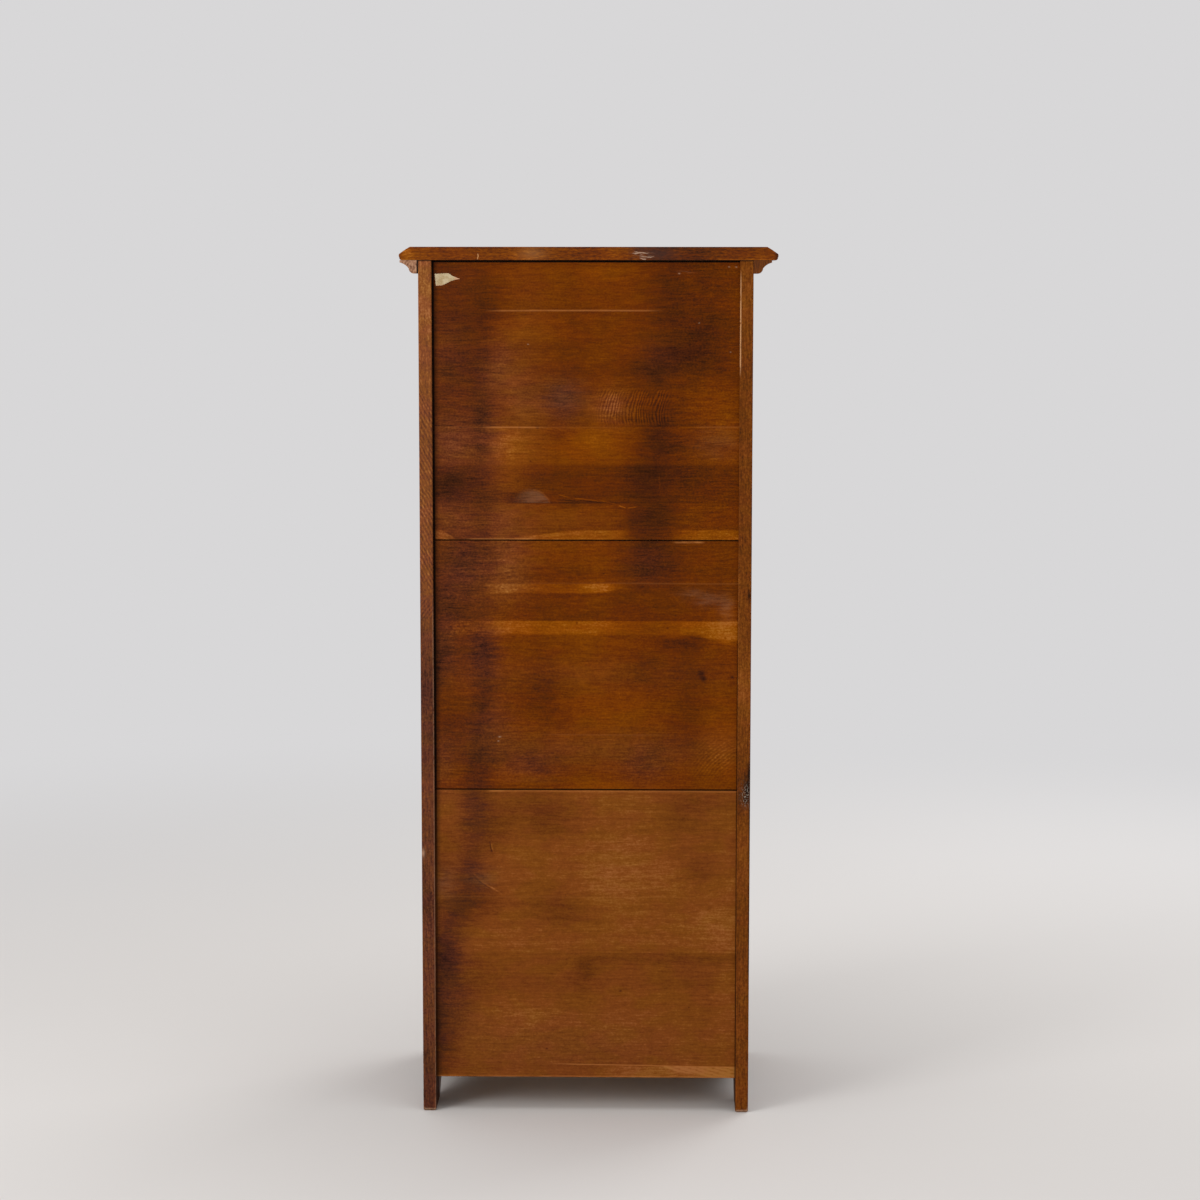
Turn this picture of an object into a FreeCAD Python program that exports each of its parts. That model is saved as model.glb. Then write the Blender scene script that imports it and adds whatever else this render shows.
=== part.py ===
"""Linen press: a pair of panelled doors over two long drawers, in a joined oak case.

Four posts carry everything. Rails are tenoned into the posts, panels float in grooves, the three back
panels slide in grooves of the rear posts, and the feet are the posts' own lower ends.
Millimetres, +Z up. The origin is on the floor under the middle of the case. The doors face -Y
and the back faces +Y. Left and right are as seen by someone who faces the doors, so left is -X.
"""
import FreeCAD, Part

import math
import os

V = FreeCAD.Vector

# ---------------------------------------------------------------- driving dimensions
# Whole case
total_height = 1600.0
case_width = 605.0
case_depth = 420.0

# Top board and the crown moulding under it
top_thickness = 24.0
top_front_overhang = 38.5   # past the case at the front; there is none at the back
top_side_overhang = 39.5
top_shift = 5.0             # the top is fixed this far to the left of the case's middle
top_bevel_width = 20.0
top_bevel_height = 12.5
top_bevel_crown = 0.3       # how far the bevel bulges
top_nosing_inset = 1.0      # where the bevel meets the rounded nosing
top_under_round = 5.0       # rounding under the nosing
crown_projection = 33.0
crown_height = 24.0
crown_lip = 4.0             # flat edge at the top of the moulding
crown_bead_projection = 16.8
crown_bead_height = 9.5
crown_foot = 6.5            # how far the bead's underside stands off the case
cove_fullness = 0.45        # where the cove's middle lies, as a share of its width
cove_rise = 0.46            # and as a share of its height

# Posts and feet
front_post_width = 40.0
front_post_depth = 60.0
rear_post_width = 24.0      # also the thickness of the side rails
rear_post_depth = 70.0
foot_depth = 86.0           # each foot on the floor, seen from the side
foot_width = 34.0           # each front foot on the floor, seen from the front
foot_chamfer = 3.0
side_arch_rise = 46.0
front_arch_rise = 70.0

# Front openings, from the bottom up
apron_top = 108.0
lower_drawer_opening = 237.0
drawer_rail_height = 18.0
upper_drawer_opening = 227.0
middle_rail_height = 36.0
top_rail_height = 64.0
front_rail_thickness = 22.0
top_rail_thickness = 34.0   # deeper than the doors, so that the door bolt can enter it

# Side frames
side_top_rail_height = 80.0
side_middle_rail_height = 76.0
side_bottom_rail_top = 162.0

# Joinery
tenon_length = 25.0
tenon_thickness = 8.0
tenon_shoulder = 4.0
mortise_slack = 1.0         # glue space at the bottom of a mortise
front_tenon_length = 20.0
stub_tenon_length = 12.0
groove_width = 6.0
groove_depth = 8.0
panel_slack = 1.0           # room for a panel to move across its groove's depth
panel_fit = 0.2             # between a panel's tongue and each wall of its groove
edge_ease = 1.0             # small chamfer along a board's arrises
fine_ease = 0.6             # the same on doors and back boards
past = 1.0                  # how far a cutting tool runs past the wood

# Fielded panels
panel_setback = 3.0         # the field lies this far behind the frame's face
field_step = 1.5
bevel_width = 27.0
frame_chamfer = 2.5         # around a frame's opening
tongue_setback = 9.0        # from the frame's face to the groove

# Back
back_recess = 6.0
back_thickness = 12.0
back_groove_depth = 8.0
back_bottom = 64.0
back_seam_drop = 18.0       # the lower seam, below the cupboard's opening
back_middle_height = 461.0  # from seam to seam
back_seam_gap = 1.2
back_side_slack = 0.5
back_top_gap = 2.0
rear_rail_thickness = 20.0
rear_rail_height = 40.0
rear_top_rail_height = 60.0

# Cupboard inside
floor_thickness = 18.0
floor_lip = 5.0             # the floor stands this far above the middle rail and stops the doors
shelf_thickness = 18.0
shelf_count = 3
shelf_setback = 41.0        # from the case's front to a shelf's front edge
shelf_slack = 1.0
peg_radius = 4.0
peg_in_post = 10.0
peg_out = 12.0
peg_setback = 50.0          # front pegs, from the case's front
rear_peg_setback = 57.0     # rear pegs, from the case's back
cleat_size = 20.0
glue_block_size = 26.0
glue_block_length = 55.0
dust_board_thickness = 12.0

# Doors
door_thickness = 21.5
door_gap = 1.5              # all round
meeting_gap = 2.0
door_stile_width = 50.0
door_top_rail = 55.0
door_middle_rail = 60.0
door_bottom_rail = 75.0
door_lower_panel = 290.0    # height of the lower panel opening

# Butt hinges
hinge_length = 60.0
hinge_from_end = 110.0
leaf_width = 18.0           # from the pin's axis
leaf_thickness = 1.4
leaf_gap = 0.5              # between the two leaves of a closed hinge
barrel_radius = 3.2
barrel_standoff = 3.6       # the pin's axis, in front of the case
knuckle_count = 5
knuckle_gap = 0.3
pin_radius = 1.5
pin_clearance = 0.05
pin_tip_radius = 2.6
pin_collar_radius = 2.9
pin_collar_height = 1.2

# Lock, key and bolt on the doors
lock_width = 34.0
lock_height = 44.0
lock_depth = 10.0
lock_wall = 1.6
lock_from_edge = 2.0
lock_inset = 4.0            # from a lock part's end to the casing's inside
keyhole_clearance = 0.7
key_shank_radius = 2.0
key_bit_reach = 9.0
key_bit_thickness = 2.4
key_bow_radius = 9.0
key_bow_hole = 5.0
key_bow_thickness = 3.0
key_standoff = 7.0          # from the door's face to the bow
key_collar_radius = 3.0
key_collar_width = 2.5
key_end_gap = 0.5           # between the key's inner end and the casing
bolt_height = 14.0
bolt_thickness = 4.0
bolt_above_key = 3.0
bolt_play = 0.25
bolt_throw = 10.0
talon_width = 2.4
talon_stop = 0.6            # left between the talon and the casing when the bolt is out
talon_gap = 2.2             # between the talon and the key's bit at rest
escutcheon_width = 17.0
escutcheon_height = 34.0
escutcheon_thickness = 1.2
escutcheon_drop = 2.0       # its centre, below the key's axis
keeper_wall = 3.0
door_bolt_radius = 2.5
door_bolt_length = 70.0
door_bolt_throw = 14.0
door_bolt_standoff = 5.0    # from the door's back to the bolt's axis
door_bolt_plate_width = 16.0
door_bolt_plate_thickness = 1.5
door_bolt_hole_clearance = 0.5
bolt_plate_margin = 3.0
bolt_lug_height = 10.0
bolt_lug_half = 4.8
finger_radius = 3.5
finger_reach = 11.0
finger_gap = 1.5            # between the finger knob and the lower lug

# Turned knobs
knob_spigot_radius = 5.0
knob_spigot_length = 14.0
knob_spigot_clearance = 0.1
door_knob_radius = 14.0
door_knob_reach = 27.0
door_knob_above_key = 62.0
drawer_knob_radius = 18.0
drawer_knob_reach = 33.0
drawer_knob_spread = 290.0

# Drawers
drawer_front_thickness = 22.0
drawer_front_gap = 1.5
drawer_side_thickness = 12.0
drawer_side_clearance = 2.5     # between a drawer side and its guide
drawer_run_clearance = 0.4      # over the runner
drawer_side_drop = 12.0         # the sides stop this far below the opening's top
drawer_back_drop = 8.0
drawer_back_inset = 14.0
drawer_housing_depth = 4.0
drawer_bottom_thickness = 6.0
drawer_bottom_height = 8.0      # from a side's lower edge to its groove
drawer_groove_depth = 5.0
tail_length = 14.0
tail_count = 5
tail_share = 0.6                # of the pitch, at the tail's narrow end
tail_slope = 7.0
tail_margin = 2.0               # between the lowest tail and the front's lower edge
runner_width = 30.0
runner_thickness = 16.0
guide_height = 25.0
stop_height = 20.0
stop_length = 14.0
stop_clearance = 0.3

# ---------------------------------------------------------------- derived places
case_half = case_width / 2
rear_y = (case_depth + top_front_overhang) / 2
front_y = rear_y - case_depth
middle_y = (front_y + rear_y) / 2
case_top = total_height - top_thickness
side_inner = case_half - rear_post_width
opening_half = case_half - front_post_width
front_post_back = front_y + front_post_depth
rear_post_front = rear_y - rear_post_depth
front_rail_back = front_y + front_rail_thickness

lower_opening_top = apron_top + lower_drawer_opening
upper_opening_bottom = lower_opening_top + drawer_rail_height
upper_opening_top = upper_opening_bottom + upper_drawer_opening
cupboard_bottom = upper_opening_top + middle_rail_height
cupboard_top = case_top - top_rail_height

back_outer = rear_y - back_recess
back_inner = back_outer - back_thickness
rear_rail_front = back_inner - rear_rail_thickness
floor_top = cupboard_bottom + floor_lip
floor_bottom = floor_top - floor_thickness
shelf_pitch = (case_top - floor_top) / (shelf_count + 1)
shelf_tops = [floor_top + shelf_pitch * (index + 1) for index in range(shelf_count)]
back_lower_seam = cupboard_bottom - back_seam_drop
back_upper_seam = back_lower_seam + back_middle_height

door_bottom = cupboard_bottom + door_gap
door_top = cupboard_top - door_gap
door_inner_x = meeting_gap / 2
door_outer_x = opening_half - door_gap
door_back = front_y + door_thickness
door_middle_rail_bottom = door_bottom + door_bottom_rail + door_lower_panel
lock_z = door_middle_rail_bottom + door_middle_rail / 2
lock_x0 = door_inner_x + lock_from_edge
talon_left = lock_x0 + lock_wall + bolt_throw + talon_stop
talon_right = talon_left + talon_width
key_x = talon_right + talon_gap + key_bit_thickness / 2
hinge_axis_x = opening_half - door_gap / 2
hinge_axis_y = front_y - barrel_standoff
hinge_heights = (door_bottom + hinge_from_end, door_top - hinge_from_end)


# ---------------------------------------------------------------- small helpers
def box(x0, x1, y0, y1, z0, z1):
    """A box between two corners."""
    return Part.makeBox(x1 - x0, y1 - y0, z1 - z0, V(x0, y0, z0))


def rod(radius, start, direction, length):
    """A cylinder from start along direction."""
    return Part.makeCylinder(radius, length, V(*start), V(*direction))


def mirrored(shape):
    """The shape's twin on the other side of the case."""
    return shape.mirror(V(0, 0, 0), V(1, 0, 0))


def both_sides(shape):
    return [shape, mirrored(shape)]


def fused(first, others):
    return first.fuse(others).removeSplitter() if others else first


def eased(shape, along, size=edge_ease):
    """Chamfers every straight edge of a plain board that runs along the given axis, 0 to 2."""
    chosen = []
    for edge in shape.Edges:
        run = edge.Vertexes[1].Point - edge.Vertexes[0].Point
        if abs(run[along]) > 0.999 * run.Length:
            chosen.append(edge)
    return shape.makeChamfer(size, chosen)


def outline_face(segments):
    """A face bounded by lines and three-point arcs, each given as a tuple of 2 or 3 points."""
    edges = []
    for points in segments:
        if len(points) == 2:
            edges.append(Part.LineSegment(*points).toShape())
        else:
            edges.append(Part.Arc(*points).toShape())
    return Part.Face(Part.Wire(edges))


def frustum(x0, x1, z0, z1, grow, y0, y1):
    """A pyramid slab along Y: the rectangle at y0, grown by grow on every side at y1."""
    return Part.makeWedge(
        x0, y0, z0, z0 - grow, x0 - grow, x1, y1, z1, z1 + grow, x1 + grow
    )


def arch_tunnel(half_span, rise, length):
    """A tunnel along X under a segmental arch that springs from the floor, centred on the origin."""
    left, right, crest = V(0, -half_span, 0), V(0, half_span, 0), V(0, 0, rise)
    below = V(0, 0, -past)
    section = outline_face(
        [
            (left + below, left),
            (left, crest, right),
            (right, right + below),
            (right + below, left + below),
        ]
    )
    section.translate(V(-length / 2, 0, 0))
    return section.extrude(V(length, 0, 0))


# ---------------------------------------------------------------- fielded panels and their frames
# These work in a frame's own plane: x across, z up, the face at y = 0 and the depth along +Y.
tongue_front = tongue_setback
tongue_back = tongue_setback + groove_width


def panel_groove(x0, x1, z0, z1):
    """What the frame around an opening loses to the panel's groove."""
    d = groove_depth
    return box(x0 - d, x1 + d, tongue_front, tongue_back, z0 - d, z1 + d)


def opening_chamfer(x0, x1, z0, z1):
    """What the frame around an opening loses to the mitred chamfer on its face."""
    return frustum(x0, x1, z0, z1, -frame_chamfer, -frame_chamfer, 0).fuse(
        frustum(
            x0 - frame_chamfer,
            x1 + frame_chamfer,
            z0 - frame_chamfer,
            z1 + frame_chamfer,
            -frame_chamfer,
            0,
            frame_chamfer,
        )
    )


def fielded_panel(x0, x1, z0, z1):
    """A raised and fielded panel for an opening, its tongue reaching into the frame's groove."""
    reach = groove_depth - panel_slack
    front, back = tongue_front + panel_fit, tongue_back - panel_fit
    tongue = box(x0 - reach, x1 + reach, front, back, z0 - reach, z1 + reach)
    low = panel_setback + field_step
    edge = bevel_width
    bevel = frustum(x0 + edge, x1 - edge, z0 + edge, z1 - edge, edge - past, low, front)
    field = box(x0 + edge, x1 - edge, panel_setback, low, z0 + edge, z1 - edge)
    return fused(tongue, [bevel, field])


def to_door(shape):
    """Moves a shape from the frame's own plane to the case's front."""
    shape.translate(V(0, front_y, 0))
    return shape


def to_side(shape):
    """Turns a shape from the frame's own plane to the case's right side: x becomes y."""
    shape.rotate(V(0, 0, 0), V(0, 0, 1), 90)
    shape.translate(V(case_half, 0, 0))
    return shape


# ---------------------------------------------------------------- rails between the posts
tenon_x = case_half - rear_post_width / 2


def side_rail(z0, z1):
    """A rail of the right side frame, with its tenons, and the mortises that they need."""
    body = eased(box(side_inner, case_half, front_post_back, rear_post_front, z0, z1), 1)
    tenons, mortises = [], []
    for y_in, reach in ((front_post_back, -tenon_length), (rear_post_front, tenon_length)):
        for made, extra in ((tenons, 0), (mortises, mortise_slack)):
            y_out = y_in + reach + (extra if reach > 0 else -extra)
            made.append(
                box(
                    tenon_x - tenon_thickness / 2,
                    tenon_x + tenon_thickness / 2,
                    min(y_in, y_out),
                    max(y_in, y_out),
                    z0 + tenon_shoulder,
                    z1 - tenon_shoulder,
                )
            )
    return fused(body, tenons), mortises


def cross_rail(z0, z1, y0, y1, half, reach, tenon_y):
    """A rail across the case with a tenon at each end, and the right-hand mortise."""
    body = eased(box(-half, half, y0, y1, z0, z1), 0)
    low, high = z0 + tenon_shoulder, z1 - tenon_shoulder
    ty0, ty1 = tenon_y - tenon_thickness / 2, tenon_y + tenon_thickness / 2
    tenon = box(half, half + reach, ty0, ty1, low, high)
    mortise = box(half, half + reach + mortise_slack, ty0, ty1, low, high)
    return fused(body, both_sides(tenon)), mortise


def front_rail(z0, z1, thickness=front_rail_thickness):
    return cross_rail(
        z0, z1, front_y, front_y + thickness, opening_half, front_tenon_length,
        front_y + front_rail_thickness / 2,
    )


def rear_rail(z0, z1):
    return cross_rail(
        z0, z1, rear_rail_front, back_inner, side_inner, stub_tenon_length,
        (rear_rail_front + back_inner) / 2,
    )


# ---------------------------------------------------------------- case frame
side_arch = arch_tunnel(case_depth / 2 - foot_depth, side_arch_rise, case_width + 2 * past)
side_arch.translate(V(0, middle_y, 0))
front_arch = arch_tunnel(case_half - foot_width, front_arch_rise, front_post_depth * 2)
front_arch.rotate(V(0, 0, 0), V(0, 0, 1), 90)
front_arch.translate(V(0, front_y, 0))

side_openings = (
    (front_post_back, rear_post_front, side_bottom_rail_top, back_lower_seam - side_middle_rail_height / 2),
    (front_post_back, rear_post_front, back_lower_seam + side_middle_rail_height / 2,
     case_top - side_top_rail_height),
)


def foot_edge_loss(x0, x1, y0, y1):
    """What a foot that stands on this rectangle of floor loses to the chamfer around it."""
    c = foot_chamfer
    kept = Part.makeWedge(x0 + c, 0, c - y1, -y1, x0, x1 - c, c, -y0 - c, -y0, x1)
    kept.rotate(V(0, 0, 0), V(1, 0, 0), 90)
    return box(x0 - past, x1 + past, y0 - past, y1 + past, 0, c).cut(kept)


front_foot_loss = foot_edge_loss(case_half - foot_width, case_half, front_y, front_y + foot_depth)
rear_foot_loss = foot_edge_loss(side_inner, case_half, rear_y - foot_depth, rear_y)


def side_frame():
    """The right side's rails and panels, and the mortises for its two posts."""
    spans = (
        (0, side_bottom_rail_top),
        (side_openings[0][3], side_openings[1][2]),
        (side_openings[1][3], case_top),
    )
    rails, mortises = [], []
    for z0, z1 in spans:
        rail, holes = side_rail(z0, z1)
        rails.append(rail)
        mortises.extend(holes)
    rails[0] = rails[0].cut([side_arch, front_foot_loss, rear_foot_loss])
    mortises = [hole.cut(side_arch) for hole in mortises]
    for opening in side_openings:
        loss = [to_side(panel_groove(*opening)), to_side(opening_chamfer(*opening))]
        rails = [rail.cut(loss) for rail in rails]
        mortises.extend(loss)
    panels = [to_side(fielded_panel(*opening)) for opening in side_openings]
    return rails, panels, mortises


def front_post(losses):
    post = eased(box(opening_half, case_half, front_y, front_post_back, 0, case_top), 2)
    return post.cut([side_arch, front_arch, front_foot_loss] + losses)


def rear_post(losses):
    post = eased(box(side_inner, case_half, rear_post_front, rear_y, 0, case_top), 2)
    back_groove = box(
        side_inner, side_inner + back_groove_depth, back_inner, back_outer, back_bottom, case_top
    )
    return post.cut([side_arch, rear_foot_loss, back_groove] + losses)


def peg_holes_and_pegs():
    """The shelf pegs of the right side, and their holes in the front and the rear post."""
    pegs, holes = [], []
    for shelf_top in shelf_tops:
        z = shelf_top - shelf_thickness - peg_radius
        for x, y in (
            (opening_half, front_y + peg_setback),
            (side_inner, rear_y - rear_peg_setback),
        ):
            start = (x - peg_out, y, z)
            pegs.append(rod(peg_radius, start, (1, 0, 0), peg_out + peg_in_post))
            holes.append(rod(peg_radius, (x, y, z), (1, 0, 0), peg_in_post + mortise_slack))
    return pegs, holes


# ---------------------------------------------------------------- top board and crown
def edge_profile(outer, step):
    """The moulded edge of the top board, from its upper to its lower face, on the XZ plane.

    outer is the widest x and step is 1 on the right edge and -1 on the left one."""
    def at(inset, z):
        return V(outer - step * inset, 0, z)

    low_z = total_height - top_thickness
    bevel_z = total_height - top_bevel_height
    round_z = low_z + top_under_round
    upper, lower = at(top_bevel_width, total_height), at(top_nosing_inset, bevel_z)
    crowned = at(
        (top_bevel_width + top_nosing_inset) / 2 - top_bevel_crown / 2,
        (total_height + bevel_z) / 2 + top_bevel_crown,
    )
    nose_end = at(top_nosing_inset, round_z)
    under = at(top_nosing_inset + 1.1, low_z + 0.33 * top_under_round)
    return [
        (upper, crowned, lower),
        (lower, at(0, (bevel_z + round_z) / 2), nose_end),
        (nose_end, under, at(top_under_round, low_z)),
    ]


def reverse(segments):
    return [tuple(reversed(points)) for points in reversed(segments)]


def top_board():
    """The top: a section with two moulded edges, met by one with a moulded front edge."""
    half = case_half + top_side_overhang
    front_edge = front_y - top_front_overhang
    right, left = edge_profile(half, 1), edge_profile(-half, -1)
    across = outline_face(
        right + [(right[-1][-1], left[-1][-1])] + reverse(left) + [(left[0][0], right[0][0])]
    ).extrude(V(0, case_depth + top_front_overhang, 0))
    across.translate(V(0, front_edge, 0))
    moulded = edge_profile(-front_edge, 1)
    rear_low, rear_high = V(-rear_y, 0, case_top), V(-rear_y, 0, total_height)
    along = outline_face(
        moulded + [(moulded[-1][-1], rear_low), (rear_low, rear_high), (rear_high, moulded[0][0])]
    ).extrude(V(0, 2 * half, 0))
    along.translate(V(0, -half, 0))
    along.rotate(V(0, 0, 0), V(0, 0, 1), -90)
    board = across.common(along)
    board.translate(V(-top_shift, 0, 0))
    return board


def crown_section():
    """The crown's section on the XZ plane: x is the distance from the case, z = 0 its upper face."""
    lip, cove_end = V(crown_projection, 0, -crown_lip), -(crown_height - crown_bead_height)
    bead_top = V(crown_bead_projection, 0, cove_end)
    cove_mid = V(
        crown_bead_projection + cove_fullness * (crown_projection - crown_bead_projection),
        0,
        cove_end + cove_rise * (crown_height - crown_bead_height),
    )
    bead_mid = V(
        crown_foot + math.cos(math.pi / 4) * (crown_bead_projection - crown_foot),
        0,
        cove_end - math.sin(math.pi / 4) * crown_bead_height,
    )
    bead_end = V(crown_foot, 0, -crown_height)
    top_in, top_out, low_in = V(0, 0, 0), V(crown_projection, 0, 0), V(0, 0, -crown_height)
    return outline_face(
        [
            (top_in, top_out),
            (top_out, lip),
            (lip, cove_mid, bead_top),
            (bead_top, bead_mid, bead_end),
            (bead_end, low_in),
            (low_in, top_in),
        ]
    )


def crown_moulding():
    """Front and side lengths of the crown, mitred at the two front corners."""
    reach = crown_projection + 1
    corner = V(case_half, front_y, 0)
    front_edge = front_y - crown_projection

    def mitre(second):
        points = [corner, second, corner + V(reach, -reach, 0), corner]
        prism = Part.Face(Part.makePolygon(points)).extrude(V(0, 0, total_height))
        return prism

    side = crown_section().extrude(V(0, rear_y - front_edge, 0))
    side.translate(V(case_half, front_edge, case_top))
    side = side.cut(mitre(corner + V(0, -reach, 0)))
    front = crown_section().extrude(V(0, 2 * (case_half + crown_projection), 0))
    front.rotate(V(0, 0, 0), V(0, 0, 1), -90)
    front.translate(V(-case_half - crown_projection, front_y, case_top))
    far_mitre = mitre(corner + V(reach, 0, 0))
    front = front.cut([far_mitre, mirrored(far_mitre)])
    return [front] + both_sides(side)


# ---------------------------------------------------------------- back, floor and shelves
def back_panel(z0, z1):
    half = side_inner + back_groove_depth - back_side_slack
    return eased(box(-half, half, back_inner, back_outer, z0, z1), 0, fine_ease)


def notched_board(half, y0, y1, z0, z1, post_clearance):
    """A board between the side frames, notched around the front posts."""
    board = box(-half, half, y0, y1, z0, z1)
    notch = box(
        opening_half - post_clearance, half + past, y0 - past, front_post_back + post_clearance,
        z0 - past, z1 + past,
    )
    return board.cut(both_sides(notch))


def shelf(top_z):
    return notched_board(
        side_inner - shelf_slack, front_y + shelf_setback, rear_rail_front - shelf_slack / 2,
        top_z - shelf_thickness, top_z, shelf_slack,
    )


def floor_cleat():
    """Carries the cupboard floor along the right side frame."""
    return box(
        side_inner - cleat_size, side_inner, front_post_back, rear_rail_front,
        floor_bottom - cleat_size, floor_bottom,
    )


def glue_block(y):
    """A triangular block in the corner between the right top rail and the top board."""
    corner = V(side_inner, y - glue_block_length / 2, case_top)
    points = [corner, corner - V(glue_block_size, 0, 0), corner - V(0, 0, glue_block_size), corner]
    return Part.Face(Part.makePolygon(points)).extrude(V(0, glue_block_length, 0))


def drawer_run(opening_bottom):
    """The runner, guide and stop of a drawer's right side."""
    inner = side_inner - runner_width
    low = opening_bottom - runner_thickness
    runner = box(inner, side_inner, front_rail_back, rear_rail_front, low, opening_bottom)
    runner = runner.cut(
        box(
            opening_half, side_inner + past, front_rail_back - past, front_post_back,
            low - past, opening_bottom + past,
        )
    )
    guide = box(
        opening_half, side_inner, front_post_back, rear_rail_front,
        opening_bottom, opening_bottom + guide_height,
    )
    stop = box(
        inner, opening_half, rear_rail_front - stop_length, rear_rail_front,
        opening_bottom, opening_bottom + stop_height,
    )
    return [runner, guide, stop]


# ---------------------------------------------------------------- hinges
def knuckle_span(centre_z, index):
    pitch = hinge_length / knuckle_count
    low = centre_z - hinge_length / 2 + index * pitch
    return low + knuckle_gap / 2, low + pitch - knuckle_gap / 2


def hinge_leaf(centre_z, step, indices):
    """One leaf of a right-hand hinge: step 1 is let into the post and -1 into the door."""
    inner = hinge_axis_x + step * leaf_gap / 2
    outer = inner + step * leaf_thickness
    x0, x1 = min(inner, outer), max(inner, outer)
    low, high = centre_z - hinge_length / 2, centre_z + hinge_length / 2
    leaf = box(x0, x1, front_y, hinge_axis_y + leaf_width, low, high)
    parts = []
    for index in indices:
        z0, z1 = knuckle_span(centre_z, index)
        parts.append(rod(barrel_radius, (hinge_axis_x, hinge_axis_y, z0), (0, 0, 1), z1 - z0))
        parts.append(box(x0, x1, hinge_axis_y, front_y, z0, z1))
    start = (hinge_axis_x, hinge_axis_y, low - past)
    bore = rod(pin_radius + pin_clearance, start, (0, 0, 1), hinge_length + 2 * past)
    return fused(leaf, parts).cut(bore)


def hinge_pin(centre_z):
    """A loose pin with a small turned tip at each end of the barrel."""
    half = hinge_length / 2
    foot = (hinge_axis_x, hinge_axis_y, centre_z - half)
    pin = rod(pin_radius, foot, (0, 0, 1), hinge_length)
    tips = []
    for end in (-1, 1):
        seat = centre_z + end * (half - knuckle_gap / 2)
        collar = (hinge_axis_x, hinge_axis_y, seat)
        tips.append(rod(pin_collar_radius, collar, (0, 0, end), pin_collar_height))
        tip_centre = V(hinge_axis_x, hinge_axis_y, seat + end * pin_tip_radius)
        tips.append(Part.makeSphere(pin_tip_radius, tip_centre))
    return fused(pin, tips)


def hinge_gains(step):
    """What the post (step 1) or the door stile (step -1) loses to its hinge leaves."""
    outer = hinge_axis_x + step * (leaf_gap / 2 + leaf_thickness)
    x0, x1 = min(hinge_axis_x, outer), max(hinge_axis_x, outer)
    return [
        box(x0, x1, front_y - past, hinge_axis_y + leaf_width, z - hinge_length / 2, z + hinge_length / 2)
        for z in hinge_heights
    ]


case_knuckles = range(0, knuckle_count, 2)
door_knuckles = range(1, knuckle_count, 2)


# ---------------------------------------------------------------- turned knobs
def dome_middle(rim, rise):
    """Half-way up a dome whose centre is on its axis: the distance from the axis and the rise left."""
    sphere = (rim * rim + rise * rise) / (2 * rise)
    half_angle = math.asin(rim / sphere) / 2
    return sphere * math.sin(half_angle), sphere * (1 - math.cos(half_angle))


def knob(radius, reach):
    """A turned knob on the -Y side of the origin, with a spigot that enters the wood.

    Its profile is given as shares of the radius and of the reach."""
    def at(radius_share, reach_share):
        return V(radius_share * radius, -reach_share * reach, 0)

    spigot_end, spigot_rim = V(0, knob_spigot_length, 0), V(knob_spigot_radius, knob_spigot_length, 0)
    spigot_root = V(knob_spigot_radius, 0, 0)
    base_rim, base_top, neck_start = at(0.62, 0), at(0.62, 0.10), at(0.50, 0.19)
    neck_waist, head_under, head_rim = at(0.42, 0.36), at(0.82, 0.60), at(1, 0.76)
    head_over, crown = at(0.84, 0.90), at(0, 1)
    dome_x, dome_left = dome_middle(head_over.x, head_over.y - crown.y)
    dome = V(dome_x, dome_left - reach, 0)
    face = outline_face(
        [
            (crown, spigot_end),
            (spigot_end, spigot_rim),
            (spigot_rim, spigot_root),
            (spigot_root, base_rim),
            (base_rim, base_top),
            (base_top, neck_start),
            (neck_start, neck_waist, head_under),
            (head_under, head_rim, head_over),
            (head_over, dome, crown),
        ]
    )
    return face.revolve(V(0, 0, 0), V(0, 1, 0), 360)


def placed_knob(radius, reach, x, z):
    turned = knob(radius, reach)
    turned.translate(V(x, front_y, z))
    return turned


def knob_hole(x, z):
    depth = past + knob_spigot_length + mortise_slack
    return rod(knob_spigot_radius + knob_spigot_clearance, (x, front_y - past, z), (0, 1, 0), depth)


# ---------------------------------------------------------------- doors
stile_inner_x = door_inner_x + door_stile_width
stile_outer_x = door_outer_x - door_stile_width
door_openings = (
    (stile_inner_x, stile_outer_x, door_bottom + door_bottom_rail, door_middle_rail_bottom),
    (stile_inner_x, stile_outer_x, door_middle_rail_bottom + door_middle_rail, door_top - door_top_rail),
)
knob_x = (door_inner_x + stile_inner_x) / 2
knob_z = lock_z + door_knob_above_key


def door_rail(z0, z1):
    """A rail of the right-hand door, and the mortises that its tenons need."""
    rail = eased(box(stile_inner_x, stile_outer_x, front_y, door_back, z0, z1), 0, fine_ease)
    ty = front_y + tongue_setback + groove_width / 2
    low, high = z0 + groove_depth, z1 - groove_depth
    tenons, mortises = [], []
    for made, slack in ((tenons, 0), (mortises, mortise_slack)):
        reach = tenon_length + slack
        for x0, x1 in ((stile_inner_x - reach, stile_inner_x), (stile_outer_x, stile_outer_x + reach)):
            made.append(box(x0, x1, ty - tenon_thickness / 2, ty + tenon_thickness / 2, low, high))
    return fused(rail, tenons), mortises


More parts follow.
